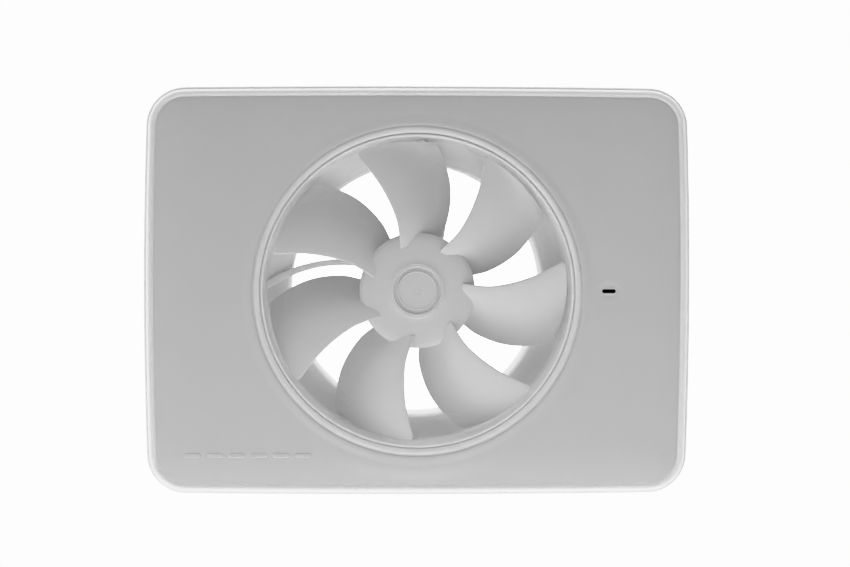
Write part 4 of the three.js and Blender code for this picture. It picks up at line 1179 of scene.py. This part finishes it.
def banded(name, light, dark, pitch, roughness):
    """Metal in fine parallel bands along Y, as of wound wire or stacked sheets, in colour and relief."""
    material = plastic(name, light, roughness, grain=0.01)
    tree, shader = material.node_tree, shader_of(material)
    here = tree.nodes["Texture Coordinate"].outputs["Object"]
    wave = add(tree, "TexWave", {"Scale": 1 / (pitch * MM * 3.2), "Vector": here}, bands_direction="Y")
    plain = tree.nodes["Mix"].outputs["Result"]
    bands = wave.outputs["Fac"]
    wire(tree, shader, {"Metallic": 0.9, "Base Color": blend(tree, (*dark, 1), plain, bands)})
    wire(tree, tree.nodes["Bump"], {"Height": bands, "Distance": 0.05 * MM})
    return material


def board_lacquer(name):
    """Green solder resist with copper tracks under it and bare pads here and there."""
    material = plastic(name, (0.035, 0.19, 0.09), 0.32, grain=0.006, specular=0.5)
    tree = material.node_tree
    here = tree.nodes["Texture Coordinate"].outputs["Object"]
    turn = add(tree, "Mapping", {"Rotation": (math.pi / 2, 0, 0), "Vector": here})
    tracks = add(tree, "TexBrick", {
        "Scale": 1, "Brick Width": 14 * MM, "Row Height": 3.6 * MM, "Mortar Size": 0.45 * MM,
        "Mortar Smooth": 0.1, "Vector": turn.outputs["Vector"],
    }).outputs["Fac"]
    lacquer = blend(tree, tree.nodes["Mix"].outputs["Result"], (0.07, 0.32, 0.14, 1), tracks)
    wire(tree, shader_of(material), {"Base Color": lacquer})
    wire(tree, tree.nodes["Bump"], {"Height": tracks})
    return material


def clear_glass():
    """Clear glass with a faint tint and a hint of waviness."""
    material = plastic("glass", (0.9, 0.94, 0.94), 0.05, grain=0.002, tint=0.01, specular=0.5)
    wire(material.node_tree, shader_of(material), {"Transmission Weight": 0.85})
    return material


WHITE = translucent(plastic("white_plastic", (0.735, 0.735, 0.735), 0.55))
# Painted highlight: the cover's border and ring crest are near white. They are also smoother.
WHITE = polished_and_highlighted(WHITE, (0.98, 0.98, 0.98), 0.35)
# The case's white is painted lighter than the cover's, to stand in for the light that its rim catches.
CASE_WHITE_PAINTED_LIGHTER = translucent(plastic("case_plastic", (0.88, 0.88, 0.88), 0.5))
# The duct's white is painted lighter than the cover's, to stand in for the light on the throat from behind.
DUCT_WHITE_PAINTED_LIGHTER = translucent(plastic("duct_plastic", (0.95, 0.95, 0.95), 0.5))
GREY = plastic("grey_plastic", (0.42, 0.43, 0.44), 0.6)
BLACK = plastic("dark_plastic", (0.025, 0.026, 0.028), 0.45, grain=0.015, tint=0.15)
MESH_BLACK = plastic("filter_foam", (0.012, 0.012, 0.013), 0.9, grain=0.12, grain_size=0.5, tint=0.3)
GREEN = plastic("green_plastic", (0.05, 0.23, 0.1), 0.42, grain=0.012, tint=0.04)
YELLOW = plastic("yellow_plastic", (0.62, 0.42, 0.06), 0.35, grain=0.01, tint=0.05)
TAPE = plastic("winding_tape", (0.7, 0.5, 0.08), 0.3, grain=0.02, grain_size=1.5, tint=0.08)
FOAM = plastic("foam", (0.05, 0.05, 0.053), 0.95, grain=0.25, grain_size=0.45, tint=0.25, specular=0.1)
RUBBER = plastic("rubber", (0.022, 0.022, 0.023), 0.75, grain=0.03, grain_size=0.3, tint=0.12, specular=0.3)
JACKET = plastic("cable_jacket", (0.1, 0.1, 0.105), 0.5, grain=0.02, tint=0.08)
SLEEVE = plastic("can_sleeve", (0.02, 0.024, 0.05), 0.3, grain=0.01, tint=0.1)
BOARD = board_lacquer("board")
FERRITE = plastic("ferrite", (0.04, 0.04, 0.043), 0.6, grain=0.05, grain_size=0.25, tint=0.2)
STEEL = metal("steel", (0.62, 0.62, 0.63), 0.32)
CORE_STEEL = banded("core_steel", (0.4, 0.41, 0.43), (0.12, 0.12, 0.13), 0.5, 0.45)
COPPER = banded("copper", (0.75, 0.34, 0.14), (0.35, 0.13, 0.05), 0.35, 0.3)
BRASS = metal("brass", (0.76, 0.56, 0.25), 0.3)
ALUMINIUM = metal("aluminium", (0.78, 0.79, 0.8), 0.35, stretch=(1, 0.05, 1))
GLASS = clear_glass()
# The rotor's white is painted lighter than the cover's, to make up for the shade it gets deep inside the
# ring.
ROTOR_WHITE_PAINTED_LIGHTER = plastic("rotor_plastic", (0.795, 0.795, 0.795), 0.42, grain=0.008)


def dress(piece, material):
    piece.data.materials.clear()
    piece.data.materials.append(material)


def place(piece, name, material, replaced, body="housing"):
    """Puts a piece on its body in place of a CAD node; no material means that it has its own already."""
    piece.name = name
    if material:
        dress(piece, material)
    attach(piece, body)
    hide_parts(replaced)


# ------------------------------------------------------------------ camera, floor and light

CAMERA_PLACE = (-0.015, -0.827, 0.025)
CAMERA_AIM = (0.0028, -0.027, 0.0029)
CAMERA_ROLL = 0.08
FIELD_WIDTH = 0.323           # how much of the plane through the aim the picture's width takes in
SENSOR_WIDTH = 36
FLOOR_Z = -200


def make_camera():
    camera = bpy.data.objects.new("camera", bpy.data.cameras.new("camera"))
    bpy.context.scene.collection.objects.link(camera)
    camera.location = CAMERA_PLACE
    way = Vector(CAMERA_AIM) - Vector(CAMERA_PLACE)
    roll = Matrix.Rotation(CAMERA_ROLL * DEGREE, 3, "Z").to_quaternion()
    camera.rotation_euler = (way.to_track_quat("-Z", "Y") @ roll).to_euler()
    camera.data.sensor_width = SENSOR_WIDTH
    camera.data.lens = SENSOR_WIDTH * way.length / FIELD_WIDTH
    bpy.context.scene.camera = camera


def make_floor():
    outline = rounded_box((-750, -950), (750, 500), 60, 8)
    floor = loft("floor", [[(x, y, z) for x, y in outline] for z in (FLOOR_Z, FLOOR_Z - 10)])
    dress(floor, plastic("floor_paint", (0.82, 0.82, 0.82), 0.7))


# Soft light by direction: where it comes from, the cosines between which it fades in, its strength.
# The second one takes light away again straight behind, so that the back isn't overlit.
SKY = [
    ((0, 1, 0), (-0.35, 0.3), 2.1),
    ((0, 1, 0), (0.25, 0.85), -1.6),
    ((-1, 0, 0.2), (0.3, 0.95), 0.75),
    ((0.2, 0, 1), (0.3, 0.95), 1.15),
]
BACKDROP = 4                  # how bright the plain background is to the camera

# Soft lamps: where each stands, its width and height in metres and its power in watts.
LAMPS = [
    ((0, -0.04, -0.19), (0.5, 0.2), 0.14),
    ((0, -0.35, -0.185), (0.7, 0.35), 0.3),
]
LAMP_AIM = Vector((0, -0.02, 0))


def make_lamps():
    for place_at, (width, height), power in LAMPS:
        lamp = bpy.data.objects.new("lamp", bpy.data.lights.new("lamp", "AREA"))
        bpy.context.scene.collection.objects.link(lamp)
        lamp.data.shape = "RECTANGLE"
        lamp.data.size = width
        lamp.data.size_y = height
        lamp.data.energy = power
        lamp.location = place_at
        lamp.rotation_euler = (LAMP_AIM - lamp.location).to_track_quat("-Z", "Y").to_euler()
        lamp.visible_camera = False


def make_world():
    """White behind the object, with soft light that comes mostly from the sides and from behind."""
    world = bpy.data.worlds.new("studio")
    bpy.context.scene.world = world
    world.use_nodes = True
    tree = world.node_tree
    tree.nodes.clear()
    here = add(tree, "TexCoord", {}).outputs["Generated"]
    total = 0
    for way, (low, high), strength in SKY:
        toward = add(tree, "VectorMath", {}, operation="DOT_PRODUCT")
        tree.links.new(here, toward.inputs[0])
        toward.inputs[1].default_value = Vector(way).normalized()
        lobe = add(tree, "MapRange", {"Value": toward.outputs["Value"], "From Min": low, "From Max": high,
                                      "To Max": strength}, interpolation_type="SMOOTHSTEP")
        both = add(tree, "Math", {0: total, 1: lobe.outputs["Result"]}, operation="ADD")
        total = both.outputs["Value"]
    ambience = add(tree, "Background", {"Strength": total})
    white = add(tree, "Background", {"Color": (1, 1, 1, 1), "Strength": BACKDROP})
    seen = add(tree, "LightPath", {}).outputs["Is Camera Ray"]
    mix = add(tree, "MixShader", {0: seen, 1: ambience.outputs["Background"], 2: white.outputs["Background"]})
    add(tree, "OutputWorld", {"Surface": mix.outputs["Shader"]})
    bpy.context.scene.view_settings.view_transform = "Khronos PBR Neutral"


# ------------------------------------------------------------------ assembly

make_camera()
make_floor()
make_lamps()
make_world()

place(front_cover(), "cover_shell", WHITE, "front_cover", body="cover")
place(fan_duct(), "duct_shell", DUCT_WHITE_PAINTED_LIGHTER, "fan_duct")
place(back_case(), "case_shell", CASE_WHITE_PAINTED_LIGHTER, "back_case")
place(impeller(), "fan_wheel", ROTOR_WHITE_PAINTED_LIGHTER, "impeller", body="rotor")
place(spigot_seal(), "seal_ring", RUBBER, "spigot_seal")
place(wall_gasket(), "gasket_ring", FOAM, "wall_gasket")
place(cable_grommet(), "entry_grommet", RUBBER, "cable_grommet")
place(cable_clamp(), "clamp_bar", GREY, "cable_clamp")
place(lid(), "mains_lid", GREY, "electronics_lid")
place(terminals(), "mains_terminals", GREEN, "terminal_block")
film = box_part("x2_capacitor", "film_capacitor", 0.6)
place(film, "film_capacitor", YELLOW, "x2_capacitor")
for node, name, legs in (("bridge_rectifier", "rectifier", 2), ("supply_controller", "controller_chip", 4),
                         ("microcontroller", "logic_chip", 8)):
    place(chip(node, name, legs), name, None, node)
for node, name in (("bulk_capacitor", "mains_can"), ("output_capacitor", "output_can")):
    place(capacitor(node, name), name, None, node)
place(choke(), "choke_ring", None, "emc_choke")
place(transformer(), "supply_transformer", None, "transformer")
place(fuse(), "glass_fuse", None, "mains_fuse")
place(main_board(), "main_board", None, "main_pcb")
place(sensor_board(), "sensor_board", None, "sensor_pcb")
place(sensor_can(), "sensor_can", STEEL, "humidity_sensor")
header = pin_row("sensor_header", 3, [(0, 2.5), (9.3, 11.8)])
place(header, "sensor_pins", None, "sensor_header")
jumper = pin_row("mode_jumper", 3, [(3.5, 6)], cap=(0.2, 5, 3.3))
place(jumper, "jumper_pins", None, "mode_jumper")
place(lead_connector(), "lead_connector", GREY, "motor_connector")
place(chip("motor_driver", "driver_chip", 3), "driver_chip", None, "motor_driver")

SCREWS = {"clamp_screw": 2, "duct_screw": 3, "motor_screw": 3, "pcb_screw": 4, "terminal_screw": 3}
screw_nodes = [f"{stem}_{number}" for stem, count in SCREWS.items() for number in range(1, count + 1)]
for node in screw_nodes + ["lid_screw"]:
    place(pan_screw(f"{node}_head", node), f"{node}_head", STEEL, node)

# CAD nodes whose shape is right keep it and get their finish.
FINISHES = {
    "sensor_filter": MESH_BLACK, "rotor_cup": STEEL, "magnet_ring": FERRITE, "motor_shaft": STEEL,
    "shaft_clip": STEEL, "bearing_tube": BRASS, "front_bearing": STEEL, "rear_bearing": STEEL,
    "stator_core": CORE_STEEL, "motor_pcb": BOARD, "motor_lead": JACKET,
}
FINISHES.update({f"stator_coil_{k}": COPPER for k in range(1, 7)})
for node, material in FINISHES.items():
    dress(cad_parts[node], material)
